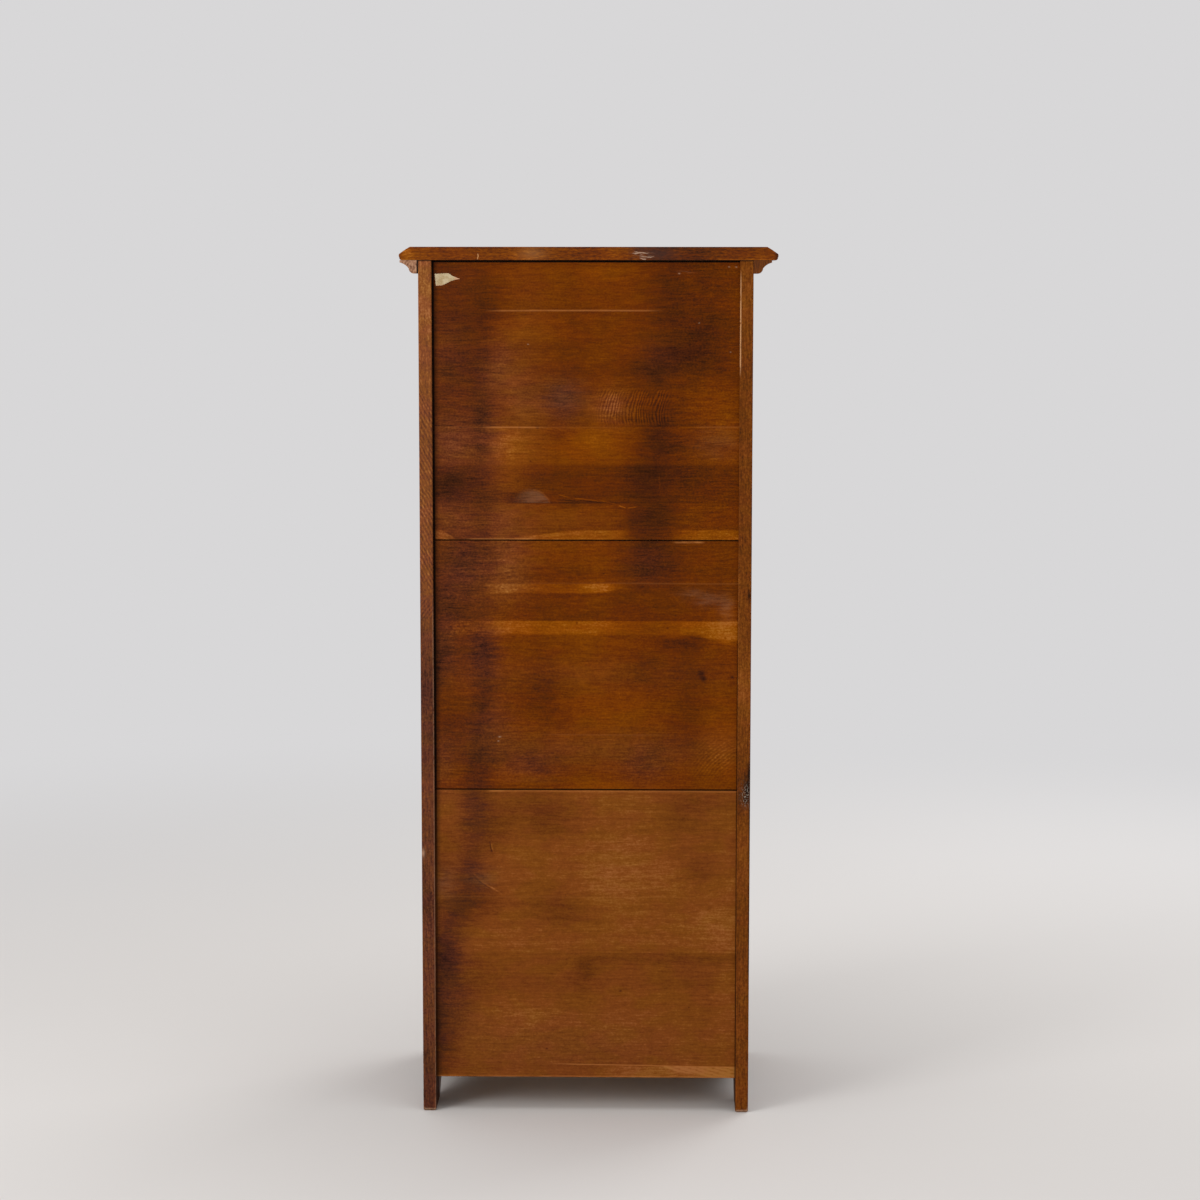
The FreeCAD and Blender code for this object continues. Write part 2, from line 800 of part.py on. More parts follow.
def door_woodwork():
    """The wooden pieces of the right-hand door before its lock and knob are fitted."""
    rail_spans = (
        (door_bottom, door_openings[0][2]),
        (door_openings[0][3], door_openings[1][2]),
        (door_openings[1][3], door_top),
    )
    rails, losses = [], []
    for z0, z1 in rail_spans:
        rail, mortises = door_rail(z0, z1)
        rails.append(rail)
        losses.extend(mortises)
    openings_loss = []
    for opening in door_openings:
        openings_loss.append(to_door(panel_groove(*opening)))
        openings_loss.append(to_door(opening_chamfer(*opening)))
    rails = [rail.cut(openings_loss) for rail in rails]
    losses = losses + openings_loss
    meeting = eased(box(door_inner_x, stile_inner_x, front_y, door_back, door_bottom, door_top), 2)
    hinged = eased(box(stile_outer_x, door_outer_x, front_y, door_back, door_bottom, door_top), 2)
    meeting = meeting.cut(losses + [knob_hole(knob_x, knob_z)])
    hinged = hinged.cut(losses + hinge_gains(-1))
    panels = [to_door(fielded_panel(*opening)) for opening in door_openings]
    return meeting, hinged, rails, panels


# ---------------------------------------------------------------- lock, key, keeper and door bolt
lock_x1 = lock_x0 + lock_width
lock_back = door_back + lock_depth
lock_bolt_y0 = door_back + (lock_depth - bolt_thickness) / 2
lock_bolt_y1 = lock_bolt_y0 + bolt_thickness
lock_bolt_z0 = lock_z + bolt_above_key
lock_bolt_z1 = lock_bolt_z0 + bolt_height


def keyhole(y0, y1):
    """A round hole with a slot below it, along Y."""
    hole = rod(key_shank_radius + keyhole_clearance, (key_x, y0, lock_z), (0, 1, 0), y1 - y0)
    half_slot = key_bit_thickness / 2 + keyhole_clearance
    slot_bottom = lock_z - key_bit_reach - keyhole_clearance
    return hole.fuse(box(key_x - half_slot, key_x + half_slot, y0, y1, slot_bottom, lock_z))


def lock_case():
    """A surface lock on the door's back: a hollow casing with a bolt slot and a keyhole."""
    half = lock_height / 2
    casing = box(lock_x0, lock_x1, door_back, lock_back, lock_z - half, lock_z + half)
    hollow = box(
        lock_x0 + lock_wall, lock_x1 - lock_wall, door_back + lock_wall, lock_back - lock_wall,
        lock_z - half + lock_wall, lock_z + half - lock_wall,
    )
    slot = box(
        lock_x0 - past, lock_x0 + lock_wall + past, lock_bolt_y0 - bolt_play, lock_bolt_y1 + bolt_play,
        lock_bolt_z0 - bolt_play, lock_bolt_z1 + bolt_play,
    )
    return casing.cut([hollow, slot, keyhole(door_back - past, door_back + lock_wall + past)])


def lock_bolt():
    """The lock's sliding bolt, with the talon that the key's bit pushes."""
    tail = lock_x1 - lock_wall - lock_inset
    bar = box(lock_x0, tail, lock_bolt_y0, lock_bolt_y1, lock_bolt_z0, lock_bolt_z1)
    talon_bottom = lock_z - key_bit_reach
    talon = box(talon_left, talon_right, lock_bolt_y0, lock_bolt_y1, talon_bottom, lock_bolt_z0)
    return bar.fuse(talon).removeSplitter()


def key():
    """The key in its lock, its bit hanging down."""
    bow_y = front_y - key_standoff - key_bow_radius
    shank_start = bow_y + (key_bow_radius + key_bow_hole) / 2
    inner_end = lock_back - lock_wall - key_end_gap
    along = (0, 1, 0)
    shank = rod(key_shank_radius, (key_x, shank_start, lock_z), along, inner_end - shank_start)
    collar = rod(key_collar_radius, (key_x, front_y - key_standoff, lock_z), along, key_collar_width)
    half_bow = key_bow_thickness / 2
    bow = rod(key_bow_radius, (key_x - half_bow, bow_y, lock_z), (1, 0, 0), key_bow_thickness)
    bit = box(
        key_x - key_bit_thickness / 2, key_x + key_bit_thickness / 2,
        door_back + lock_wall + key_end_gap, inner_end - key_end_gap, lock_z - key_bit_reach, lock_z,
    )
    hole_start = (key_x - half_bow - past, bow_y, lock_z)
    hole = rod(key_bow_hole, hole_start, (1, 0, 0), key_bow_thickness + 2 * past)
    return fused(shank, [collar, bow, bit]).cut(hole)


def escutcheon():
    """An oval keyhole plate on the door's face."""
    plate = Part.Ellipse(V(0, 0, 0), escutcheon_height / 2, escutcheon_width / 2).toShape()
    face = Part.Face(Part.Wire([plate]))
    face.rotate(V(0, 0, 0), V(0, 1, 0), 90)
    face.rotate(V(0, 0, 0), V(0, 0, 1), 90)
    face.translate(V(key_x, front_y - escutcheon_thickness, lock_z - escutcheon_drop))
    solid = face.extrude(V(0, escutcheon_thickness, 0))
    return solid.cut(keyhole(front_y - escutcheon_thickness - past, front_y + past))


def lock_keeper():
    """The box on the left door's back that the lock's bolt enters."""
    near = -door_inner_x - lock_from_edge
    play = 2 * bolt_play
    far = near - bolt_throw
    block = box(
        far - keeper_wall, near, door_back, lock_back,
        lock_bolt_z0 - play - keeper_wall, lock_bolt_z1 + play + keeper_wall,
    )
    mouth = box(
        far, near + past, lock_bolt_y0 - play, lock_bolt_y1 + play, lock_bolt_z0 - play, lock_bolt_z1 + play
    )
    return block.cut(mouth)


door_bolt_x = -knob_x
door_bolt_y = door_back + door_bolt_standoff
door_bolt_top = door_top - door_gap
door_bolt_bottom = door_bolt_top - door_bolt_length
lug_heights = (door_bolt_top - 2 * bolt_lug_height, door_bolt_bottom + bolt_lug_height / 2)


def door_bolt_plate():
    """The left door's bolt plate with its two guide lugs."""
    half = door_bolt_plate_width / 2
    plate_back = door_back + door_bolt_plate_thickness
    plate = box(
        door_bolt_x - half, door_bolt_x + half, door_back, plate_back,
        lug_heights[1] - bolt_plate_margin, lug_heights[0] + bolt_lug_height + bolt_plate_margin,
    )
    lugs = []
    for z in lug_heights:
        lugs.append(
            box(
                door_bolt_x - bolt_lug_half, door_bolt_x + bolt_lug_half,
                door_back, door_bolt_y + bolt_lug_half, z, z + bolt_lug_height,
            )
        )
    start = (door_bolt_x, door_bolt_y, door_bolt_bottom)
    bore = rod(door_bolt_radius + pin_clearance, start, (0, 0, 1), door_bolt_length)
    return fused(plate, lugs).cut(bore)


def door_bolt():
    """The round bolt and its finger knob, drawn back below the door's top edge."""
    bar = rod(door_bolt_radius, (door_bolt_x, door_bolt_y, door_bolt_bottom), (0, 0, 1), door_bolt_length)
    knob_height = lug_heights[1] + bolt_lug_height + finger_radius + finger_gap
    finger = rod(finger_radius, (door_bolt_x, door_bolt_y, knob_height), (0, 1, 0), finger_reach)
    return bar.fuse(finger)


def door_bolt_hole():
    """Where the door bolt enters the case's top rail."""
    start = (door_bolt_x, door_bolt_y, cupboard_top - past)
    depth = past + door_bolt_throw + mortise_slack
    return rod(door_bolt_radius + door_bolt_hole_clearance, start, (0, 0, 1), depth)


# ---------------------------------------------------------------- drawers
drawer_outer = opening_half - drawer_side_clearance
drawer_inner = drawer_outer - drawer_side_thickness
drawer_front_back = front_y + drawer_front_thickness
drawer_rear = rear_rail_front - stop_length - stop_clearance


def dovetails(low, high):
    """The right side's tails, which run forward into the drawer front."""
    pitch = (high - low) / tail_count
    tails = []
    for index in range(tail_count):
        z = low + (index + 0.5) * pitch
        narrow = pitch * tail_share / 2
        wide = narrow + tail_length / tail_slope
        root, end = drawer_front_back, drawer_front_back - tail_length
        corners = [(root, -narrow), (end, -wide), (end, wide), (root, narrow), (root, -narrow)]
        wire = Part.makePolygon([V(drawer_inner, y, z + dz) for y, dz in corners])
        tails.append(Part.Face(wire).extrude(V(drawer_side_thickness, 0, 0)))
    return tails


def drawer(opening_bottom, opening_top):
    """Front, two sides, back, bottom and knobs of the drawer that fills an opening."""
    front_low, front_high = opening_bottom + drawer_front_gap, opening_top - drawer_front_gap
    side_low, side_high = opening_bottom + drawer_run_clearance, opening_top - drawer_side_drop
    knob_height = (front_low + front_high) / 2
    half_front = opening_half - drawer_front_gap
    front = eased(box(-half_front, half_front, front_y, drawer_front_back, front_low, front_high), 0)
    tails = dovetails(front_low + tail_margin, side_high)

    groove_low = side_low + drawer_bottom_height
    groove_high = groove_low + drawer_bottom_thickness + panel_fit
    groove_half = drawer_inner + drawer_groove_depth
    groove = box(
        -groove_half, groove_half, drawer_front_back - drawer_groove_depth, drawer_rear,
        groove_low, groove_high,
    )
    bottom = box(
        -groove_half + panel_fit, groove_half - panel_fit,
        drawer_front_back - drawer_groove_depth + panel_fit, drawer_rear,
        groove_low, groove_low + drawer_bottom_thickness,
    )
    back_rear = drawer_rear - drawer_back_inset
    back_half = drawer_inner + drawer_housing_depth
    back = box(
        -back_half, back_half, back_rear - drawer_side_thickness, back_rear,
        groove_high, side_high - drawer_back_drop,
    )
    side = fused(
        box(drawer_inner, drawer_outer, drawer_front_back, drawer_rear, side_low, side_high), tails
    ).cut([groove, back])
    knob_places = [(x, knob_height) for x in (drawer_knob_spread / 2, -drawer_knob_spread / 2)]
    front = front.cut(tails + [mirrored(tail) for tail in tails] + [groove])
    front = front.cut([knob_hole(x, z) for x, z in knob_places])
    knobs = [placed_knob(drawer_knob_radius, drawer_knob_reach, x, z) for x, z in knob_places]
    return {"front": [front], "sides": both_sides(side), "back": [back], "bottom": [bottom], "knobs": knobs}


# ---------------------------------------------------------------- assembly
def case_nodes():
    """Every piece that stays with the case."""
    rails, panels, side_losses = side_frame()
    pegs, peg_holes = peg_holes_and_pegs()

    front_spans = {
        "front_rail_top": (cupboard_top, case_top, top_rail_thickness),
        "front_rail_middle": (upper_opening_top, cupboard_bottom, front_rail_thickness),
        "front_rail_drawer": (lower_opening_top, upper_opening_bottom, front_rail_thickness),
        "front_apron": (0, apron_top, front_rail_thickness),
    }
    front_rails, front_mortises = {}, []
    for name, (z0, z1, thickness) in front_spans.items():
        rail, mortise = front_rail(z0, z1, thickness)
        front_rails[name] = [rail]
        front_mortises.append(mortise)
    front_rails["front_rail_top"][0] = front_rails["front_rail_top"][0].cut(door_bolt_hole())
    front_rails["front_apron"][0] = front_rails["front_apron"][0].cut([front_arch])
    front_mortises[-1] = front_mortises[-1].cut(front_arch)

    rear_spans = (
        (back_bottom, back_bottom + rear_rail_height),
        (floor_bottom - rear_rail_height, floor_bottom),
        (back_upper_seam - rear_rail_height / 2, back_upper_seam + rear_rail_height / 2),
        (case_top - rear_top_rail_height, case_top),
    )
    rear_rails, rear_mortises = [], []
    for z0, z1 in rear_spans:
        rail, mortise = rear_rail(z0, z1)
        rear_rails.append(rail)
        rear_mortises.append(mortise)

    right_front = front_post(side_losses + front_mortises + peg_holes + hinge_gains(1))
    right_rear = rear_post(side_losses + rear_mortises + peg_holes)
    half_seam = back_seam_gap / 2
    dust_top = apron_top - runner_thickness
    hinge_leaves = [hinge_leaf(z, 1, case_knuckles) for z in hinge_heights]
    hinge_pins = [hinge_pin(z) for z in hinge_heights]
    runs = drawer_run(apron_top) + drawer_run(upper_opening_bottom)
    block_places = [middle_y + share * (rear_post_front - front_post_back) for share in (-0.35, 0, 0.35)]
    blocks = [glue_block(y) for y in block_places]
    return {
        "post_front_right": [right_front],
        "post_front_left": [mirrored(right_front)],
        "post_rear_right": [right_rear],
        "post_rear_left": [mirrored(right_rear)],
        "side_rails_right": rails,
        "side_rails_left": [mirrored(rail) for rail in rails],
        "side_panels_right": panels,
        "side_panels_left": [mirrored(panel) for panel in panels],
        **front_rails,
        "rear_rails": rear_rails,
        "back_panel_lower": [back_panel(back_bottom, back_lower_seam - half_seam)],
        "back_panel_middle": [back_panel(back_lower_seam + half_seam, back_upper_seam - half_seam)],
        "back_panel_upper": [back_panel(back_upper_seam + half_seam, case_top - back_top_gap)],
        "top_board": [top_board()],
        "crown_moulding": crown_moulding(),
        "top_glue_blocks": blocks + [mirrored(block) for block in blocks],
        "cupboard_floor": [
            notched_board(side_inner, front_rail_back, back_inner, floor_bottom, floor_top, 0)
        ],
        "floor_cleats": both_sides(floor_cleat()),
        "dust_board": [
            notched_board(
                side_inner, front_rail_back, rear_rail_front, dust_top - dust_board_thickness, dust_top, 0
            )
        ],
        "shelves": [shelf(z) for z in shelf_tops],
        "shelf_pegs": pegs + [mirrored(peg) for peg in pegs],
        "drawer_runners": runs + [mirrored(run) for run in runs],
        "hinge_leaves_case": hinge_leaves + [mirrored(leaf) for leaf in hinge_leaves],
        "hinge_pins": hinge_pins + [mirrored(pin) for pin in hinge_pins],
    }


def door_nodes():
    """Both doors with their hinge leaves, knobs, lock, keeper and bolt."""
    meeting, hinged, rails, panels = door_woodwork()
    leaves = [hinge_leaf(z, -1, door_knuckles) for z in hinge_heights]
    right_knob = placed_knob(door_knob_radius, door_knob_reach, knob_x, knob_z)
    right_meeting = meeting.cut(keyhole(front_y - past, door_back + past))
    wood = {"hinge_stile": [hinged], "panels": panels}
    for name, rail in zip(("bottom_rail", "middle_rail", "top_rail"), rails):
        wood[name] = [rail]
    nodes = {"door_right_meeting_stile": [right_meeting], "door_left_meeting_stile": [mirrored(meeting)]}
    for name, solids in wood.items():
        nodes["door_right_" + name] = solids
        nodes["door_left_" + name] = [mirrored(solid) for solid in solids]
    nodes["door_right_knob"] = [right_knob]
    nodes["door_left_knob"] = [mirrored(right_knob)]
    nodes["hinge_leaves_door_right"] = leaves
    nodes["hinge_leaves_door_left"] = [mirrored(leaf) for leaf in leaves]
    nodes["lock_case"] = [lock_case()]
    nodes["lock_bolt"] = [lock_bolt()]
    nodes["lock_keeper"] = [lock_keeper()]
    nodes["escutcheon"] = [escutcheon()]
    nodes["key"] = [key()]
    nodes["door_bolt_plate"] = [door_bolt_plate()]
    nodes["door_bolt"] = [door_bolt()]
    return nodes


def drawer_nodes():
    nodes = {}
    for name, low, high in (
        ("drawer_lower", apron_top, lower_opening_top),
        ("drawer_upper", upper_opening_bottom, upper_opening_top),
    ):
        for piece, solids in drawer(low, high).items():
            nodes[f"{name}_{piece}"] = solids
    return nodes


def export(nodes):
    """Writes one STEP file per named node."""
    os.makedirs("parts", exist_ok=True)
    for name, shapes in sorted(nodes.items()):
        solids = [solid for shape in shapes for solid in shape.Solids]
        for solid in solids:
            if not solid.isValid() or solid.Volume <= 0:
                raise ValueError(f"{name} has a solid that is not sound")
        whole = solids[0] if len(solids) == 1 else Part.makeCompound(solids)
        whole.exportStep(f"parts/{name}.step")


if __name__ == "__main__":
    export({**case_nodes(), **door_nodes(), **drawer_nodes()})
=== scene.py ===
"""Looks for the linen press: camera, studio, woods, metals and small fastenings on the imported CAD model."""

import math

import bmesh
import bpy
import numpy as np
from mathutils import Matrix, Vector


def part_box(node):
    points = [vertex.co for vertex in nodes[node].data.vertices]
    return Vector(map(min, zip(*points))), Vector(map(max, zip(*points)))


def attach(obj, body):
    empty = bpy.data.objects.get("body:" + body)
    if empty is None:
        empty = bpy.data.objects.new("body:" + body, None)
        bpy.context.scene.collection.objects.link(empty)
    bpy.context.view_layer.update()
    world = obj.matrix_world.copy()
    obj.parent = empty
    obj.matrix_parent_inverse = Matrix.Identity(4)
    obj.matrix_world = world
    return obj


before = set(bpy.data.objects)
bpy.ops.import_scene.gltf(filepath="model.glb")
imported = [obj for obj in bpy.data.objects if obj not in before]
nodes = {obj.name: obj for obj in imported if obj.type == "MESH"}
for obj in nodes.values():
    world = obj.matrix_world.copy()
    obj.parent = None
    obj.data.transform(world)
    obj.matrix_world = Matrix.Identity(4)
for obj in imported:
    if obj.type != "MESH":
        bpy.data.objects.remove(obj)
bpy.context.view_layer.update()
MM = 0.001

# ------------------------------------------------------------------------------
# Camera: the press's back, seen from just under the height of its top and 5.1 m away
LENS_MM = 85
SENSOR_MM = 36
CLIP_NEAR = 0.05
CLIP_FAR = 100
CAMERA_PLACE = Vector((-0.1249, 5.3651, 1.5574))
CAMERA_YAW = math.radians(1.1)
CAMERA_PITCH = math.radians(6.63)
CAMERA_ROLL = math.radians(0.036)


def make_camera():
    """The photo's camera: turned from -Y by the yaw, down by the pitch and about its axis by the roll."""
    forward = Vector((
        math.sin(CAMERA_YAW) * math.cos(CAMERA_PITCH),
        -math.cos(CAMERA_YAW) * math.cos(CAMERA_PITCH),
        -math.sin(CAMERA_PITCH),
    ))
    level_right = Vector((-math.cos(CAMERA_YAW), -math.sin(CAMERA_YAW), 0))
    level_up = level_right.cross(forward)
    right = level_right * math.cos(CAMERA_ROLL) + level_up * math.sin(CAMERA_ROLL)
    up = level_up * math.cos(CAMERA_ROLL) - level_right * math.sin(CAMERA_ROLL)
    data = bpy.data.cameras.new("view")
    data.lens = LENS_MM
    data.sensor_width = SENSOR_MM
    data.clip_start = CLIP_NEAR
    data.clip_end = CLIP_FAR
    camera = bpy.data.objects.new("view", data)
    turned = Matrix((right, up, -forward)).transposed().to_4x4()
    camera.matrix_world = Matrix.Translation(CAMERA_PLACE) @ turned
    bpy.context.scene.collection.objects.link(camera)
    bpy.context.scene.camera = camera


# ------------------------------------------------------------------------------
# Shader arithmetic: a Val is one output socket, and the usual operators join sockets with maths nodes
def maths(operation):
    """A method of Val that joins it and its arguments with one maths node."""
    return lambda self, *others: add_node(self.tree, "Math", (self, *others), operation=operation)


class Val:
    def __init__(self, tree, socket):
        self.tree = tree
        self.socket = socket

    __add__ = __radd__ = maths("ADD")
    __sub__ = maths("SUBTRACT")
    __mul__ = __rmul__ = maths("MULTIPLY")
    __truediv__ = maths("DIVIDE")
    times_plus = maths("MULTIPLY_ADD")
    abs = maths("ABSOLUTE")
    sqrt = maths("SQRT")
    exp = maths("EXPONENT")
    frac = maths("FRACT")
    sine = maths("SINE")
    most = maths("MAXIMUM")

    def __rsub__(self, other):
        return self.times_plus(-1, other)

    def clamped(self):
        return add_node(self.tree, "Math", (self, 0), operation="ADD", use_clamp=True)

    def ramp(self, start, end, smooth=True):
        """0 at start, 1 at end and soft between. Start may be the larger, for a ramp that falls."""
        falls = start > end
        limits = (min(start, end), max(start, end), 1 if falls else 0, 0 if falls else 1)
        shape = "SMOOTHSTEP" if smooth else "LINEAR"
        return add_node(self.tree, "MapRange", (self, *limits), interpolation_type=shape)


def feed(tree, slot, value):
    """Links a Val to an input, or sets the input to a plain number, place or colour."""
    if isinstance(value, Val):
        tree.links.new(value.socket, slot)
    else:
        slot.default_value = value


def add_node(tree, kind, inputs=(), output=0, **settings):
    """One output of a new node. Its inputs come in order, or in a dict by their names or numbers."""
    node = tree.nodes.new("ShaderNode" + kind)
    for name, value in settings.items():
        setattr(node, name, value)
    for name, value in inputs.items() if isinstance(inputs, dict) else enumerate(inputs):
        feed(tree, node.inputs[name], value)
    return Val(tree, node.outputs[output])


def tree_of(*values):
    """The node tree of the first Val among the values."""
    return next(value.tree for value in values if isinstance(value, Val))


def vector(x, y, z):
    return add_node(tree_of(x, y, z), "CombineXYZ", (x, y, z))


def parts_of(value):
    """The three numbers of a place or colour."""
    node = add_node(value.tree, "SeparateXYZ", (value,)).socket.node
    return [Val(value.tree, part) for part in node.outputs]


def vector_math(operation, *values):
    output = "Value" if operation in ("DOT_PRODUCT", "LENGTH", "DISTANCE") else "Vector"
    return add_node(tree_of(*values), "VectorMath", values, output, operation=operation)


def noise(at, size, detail, roughness, seed, coloured=False):
    """Noise from 0 to 1 whose features are size = (x, y, z) long, in the units of at."""
    scaled = vector_math("MULTIPLY_ADD", at, [1 / s for s in size], (seed * 7.31, seed * 3.17, seed * 5.73))
    inputs = {"Vector": scaled, "Scale": 1, "Detail": detail, "Roughness": roughness}
    return add_node(at.tree, "TexNoise", inputs, "Color" if coloured else "Fac")


def noise_along(value, size, seed):
    """Noise from 0 to 1 along one number."""
    inputs = {"W": value.times_plus(1 / size, seed * 9.7), "Scale": 1, "Detail": 1}
    return add_node(value.tree, "TexNoise", inputs, "Fac", noise_dimensions="1D")


def mixed(low, high, share, blend="MIX"):
    """A colour between low and high. The mix node's colours are its inputs 6 and 7, and its output 2."""
    inputs = {0: share, 6: low, 7: high}
    return add_node(tree_of(low, high, share), "Mix", inputs, 2, data_type="RGBA", blend_type=blend)


def linear(byte):
    value = byte / 255
    return value / 12.92 if value <= 0.04045 else ((value + 0.055) / 1.055) ** 2.4


def colour(red, green, blue):
    """A screen colour, each part 0 to 255, as the linear colour that a shader takes."""
    return (linear(red), linear(green), linear(blue), 1)


def shades(*rows):
    """The stops of a colour ramp, each (place, colour), from rows of place, red, green and blue."""
    return [(place, colour(*screen)) for place, *screen in rows]


def through_ramp(value, stops):
    """The value through a colour ramp, from dark to light."""
    shown = add_node(value.tree, "ValToRGB", (value,))
    elements = shown.socket.node.color_ramp.elements
    elements[0].position, elements[0].color = stops[0]
    elements[1].position, elements[1].color = stops[-1]
    for place, shade in stops[1:-1]:
        elements.new(place).color = shade
    return shown


def layered(base, *layers):
    """The base with each layer (colour, share) over it, in that order."""
    for shade, share in layers:
        base = mixed(base, shade, share)
    return base


def varied(tone, *changes):
    """The tone with each change (mask, how much lighter or darker) added."""
    for mask, lighter in changes:
        tone = mask.times_plus(lighter, tone)
    return tone


def stripe(place, start, end, soft):
    """1 where place lies between start and end."""
    return place.ramp(start - soft, start + soft) * place.ramp(end + soft, end - soft)


# ------------------------------------------------------------------------------
# Materials
class Surface:
    """A material being made. here is each point's place in the row frame, in millimetres."""

    def __init__(self, name):
        self.material = bpy.data.materials.new(name)
        self.material.use_nodes = True
        self.tree = self.material.node_tree
        self.shader = self.tree.nodes["Principled BSDF"]
        place = add_node(self.tree, "TexCoord", output="Object")
        self.here = vector_math("MULTIPLY", place, (1 / MM, 1 / MM, 1 / MM))
        self.x, self.y, self.z = parts_of(self.here)

    def set(self, **values):
        """Sets or links the shader's inputs, by their names in lower case."""
        for name, value in values.items():
            feed(self.tree, self.shader.inputs[name.replace("_", " ").title().replace("Ior", "IOR")], value)

    def noise(self, size, detail, roughness, seed, coloured=False):
        return noise(self.here, size, detail, roughness, seed, coloured)

    def bump(self, height, depth_mm, strength, **normal):
        inputs = {"Height": height, "Distance": depth_mm * MM, "Strength": strength, **normal}
        self.set(normal=add_node(self.tree, "Bump", inputs))

    def arris(self, radius_mm):
        """0 on flat wood and up to about 1 on an edge, and the normal of that softened edge."""
        soft = add_node(self.tree, "Bevel", {"Radius": radius_mm * MM}, samples=4)
        flat = add_node(self.tree, "NewGeometry", output="Normal")
        match = vector_math("DOT_PRODUCT", soft, flat)
        return (1 - match).ramp(0.01, 0.22), soft

    def strayed(self, by, reach_x, reach_z):
        """here, moved up to half of each reach either way by a coloured noise, so drawn things wander."""
        moved = vector_math("MULTIPLY_ADD", by, (reach_x, 0, reach_z), self.here)
        return vector_math("ADD", moved, (-reach_x / 2, 0, -reach_z / 2))

    def patch(self, at, x, z, half_x, half_z):
        """1 at (x, z) and fading all round, seen from the back."""
        scale = (1 / half_x, 0, 1 / half_z)
        near = vector_math("MULTIPLY_ADD", at, scale, (-x / half_x, 0, -z / half_z))
        return (vector_math("DOT_PRODUCT", near, near) * -1).exp()

    def patches(self, at, rows, total):
        """total, with each row (x, z, half_x, half_z, amount) added as a soft patch."""
        return varied(total, *((self.patch(at, *row[:4]), row[4]) for row in rows))

    def scratch(self, at, start, end, width):
        """1 on the line from start to end, both (x, z), seen from the back."""
        run = Vector((end[0] - start[0], end[1] - start[1]))
        length = run.length
        run.normalize()
        from_start = vector_math("SUBTRACT", at, (start[0], 0, start[1]))
        along = vector_math("DOT_PRODUCT", from_start, (run.x, 0, run.y))
        aside = vector_math("DOT_PRODUCT", from_start, (-run.y, 0, run.x))
        taper = along.ramp(0, 0.3 * length) * along.ramp(length, 0.7 * length)
        return aside.abs().ramp(width, 0.2 * width) * taper


# The places of a point, by number, that run along, across and through a board of each grain
GRAIN_AXES = {"X": (0, 2, 1), "Y": (1, 2, 0), "Z": (2, 0, 1)}


class Board(Surface):
    """A wooden surface. grain is the axis along which the wood runs."""

    def __init__(self, name, grain, seed):
        super().__init__(name)
        self.seed = seed
        places = (self.x, self.y, self.z)
        self.turn(*(places[i] for i in GRAIN_AXES[grain]))

    def turn(self, along, across, through):
        self.along, self.across, self.through = along, across, through

    def grow(self, pith, ring=4.5, tilt=0.02, bend=22, sway=3, jump=None, line=4.2):
        """Makes late wood, lines, streaks, pores and cloud, round a pith at (across, through).

        ring is a year's width and line the width of a grain line. The pith leans by tilt. The grain strays by
        bend over a long way and by sway over a short one. jump shifts the wood along, for a board of its own.
        """
        seed = self.seed
        flat = vector(self.along, self.across, self.through)
        if jump is not None:
            flat = vector_math("ADD", flat, vector(jump, 0, 0))
        slow = noise(flat, (560, 120, 120), 1, 0.5, seed, coloured=True)
        quick = noise(flat, (70, 15, 15), 2, 0.5, seed + 1, coloured=True)
        moved = vector_math("MULTIPLY_ADD", slow, (0, bend, bend), flat)
        moved = vector_math("MULTIPLY_ADD", quick, (0, sway, sway), moved)
        along, across, through = parts_of(moved)
        off_across = across - pith[0]
        off_through = along.times_plus(tilt, through) - pith[1]
        radius = (off_across * off_across + off_through * off_through).sqrt()
        crowd = noise_along(radius, ring * 5, seed)
        turn = (radius / ring + crowd * 1.6).frac()
        self.late = turn.ramp(0.3, 0.88) * turn.ramp(1, 0.92)
        self.streak = noise(moved, (420, 17, 17), 2, 0.5, seed + 2)
        self.lines = noise(moved, (8 * line, line, line), 3, 0.7, seed + 3)
        self.pore = noise(moved, (14, 1.5, 1.5), 1, 0.5, seed + 4).ramp(0.58, 0.72)
        self.cloud = self.noise((150, 150, 150), 2, 0.55, seed + 5)

    def tone(self, middle, streak=0.4, lines=0.4, late=0.16, pore=0.14, cloud=0.35):
        """How light the wood is, about middle."""
        return varied(
            middle, (self.streak - 0.5, streak), (self.lines - 0.5, lines), (self.cloud - 0.5, cloud),
            (self.late - 0.35, -late), (self.pore, -pore),
        )

    def blotched(self, base):
        """The colour, more golden in some places and redder in others."""
        blotch = self.noise((64, 64, 30), 2, 0.5, self.seed + 6)
        cast = mixed(RED_CAST, GOLD_CAST, blotch.ramp(0.36, 0.64))
        return mixed(base, cast, 1, "MULTIPLY")

    def finish(self, name, base, roughness, specular, worn=0.45):
        """Rubs the edges, sets the shader and puts the material on that node."""
        edge, soft = self.arris(1.2)
        rubbed = edge * self.cloud.ramp(0.35, 0.7)
        base = mixed(base, WORN_WOOD, rubbed * worn)
        rough = (self.lines - 0.5).times_plus(0.25, rubbed.times_plus(0.12, roughness))
        self.set(base_color=base, roughness=rough, specular_ior_level=specular)
        self.bump(self.lines.times_plus(0.5, self.pore * -0.6), 0.1, 0.5, Normal=soft)
        dress([name], self)


def dress(names, surface):
    for name in names:
        nodes[name].material_slots[0].material = surface.material


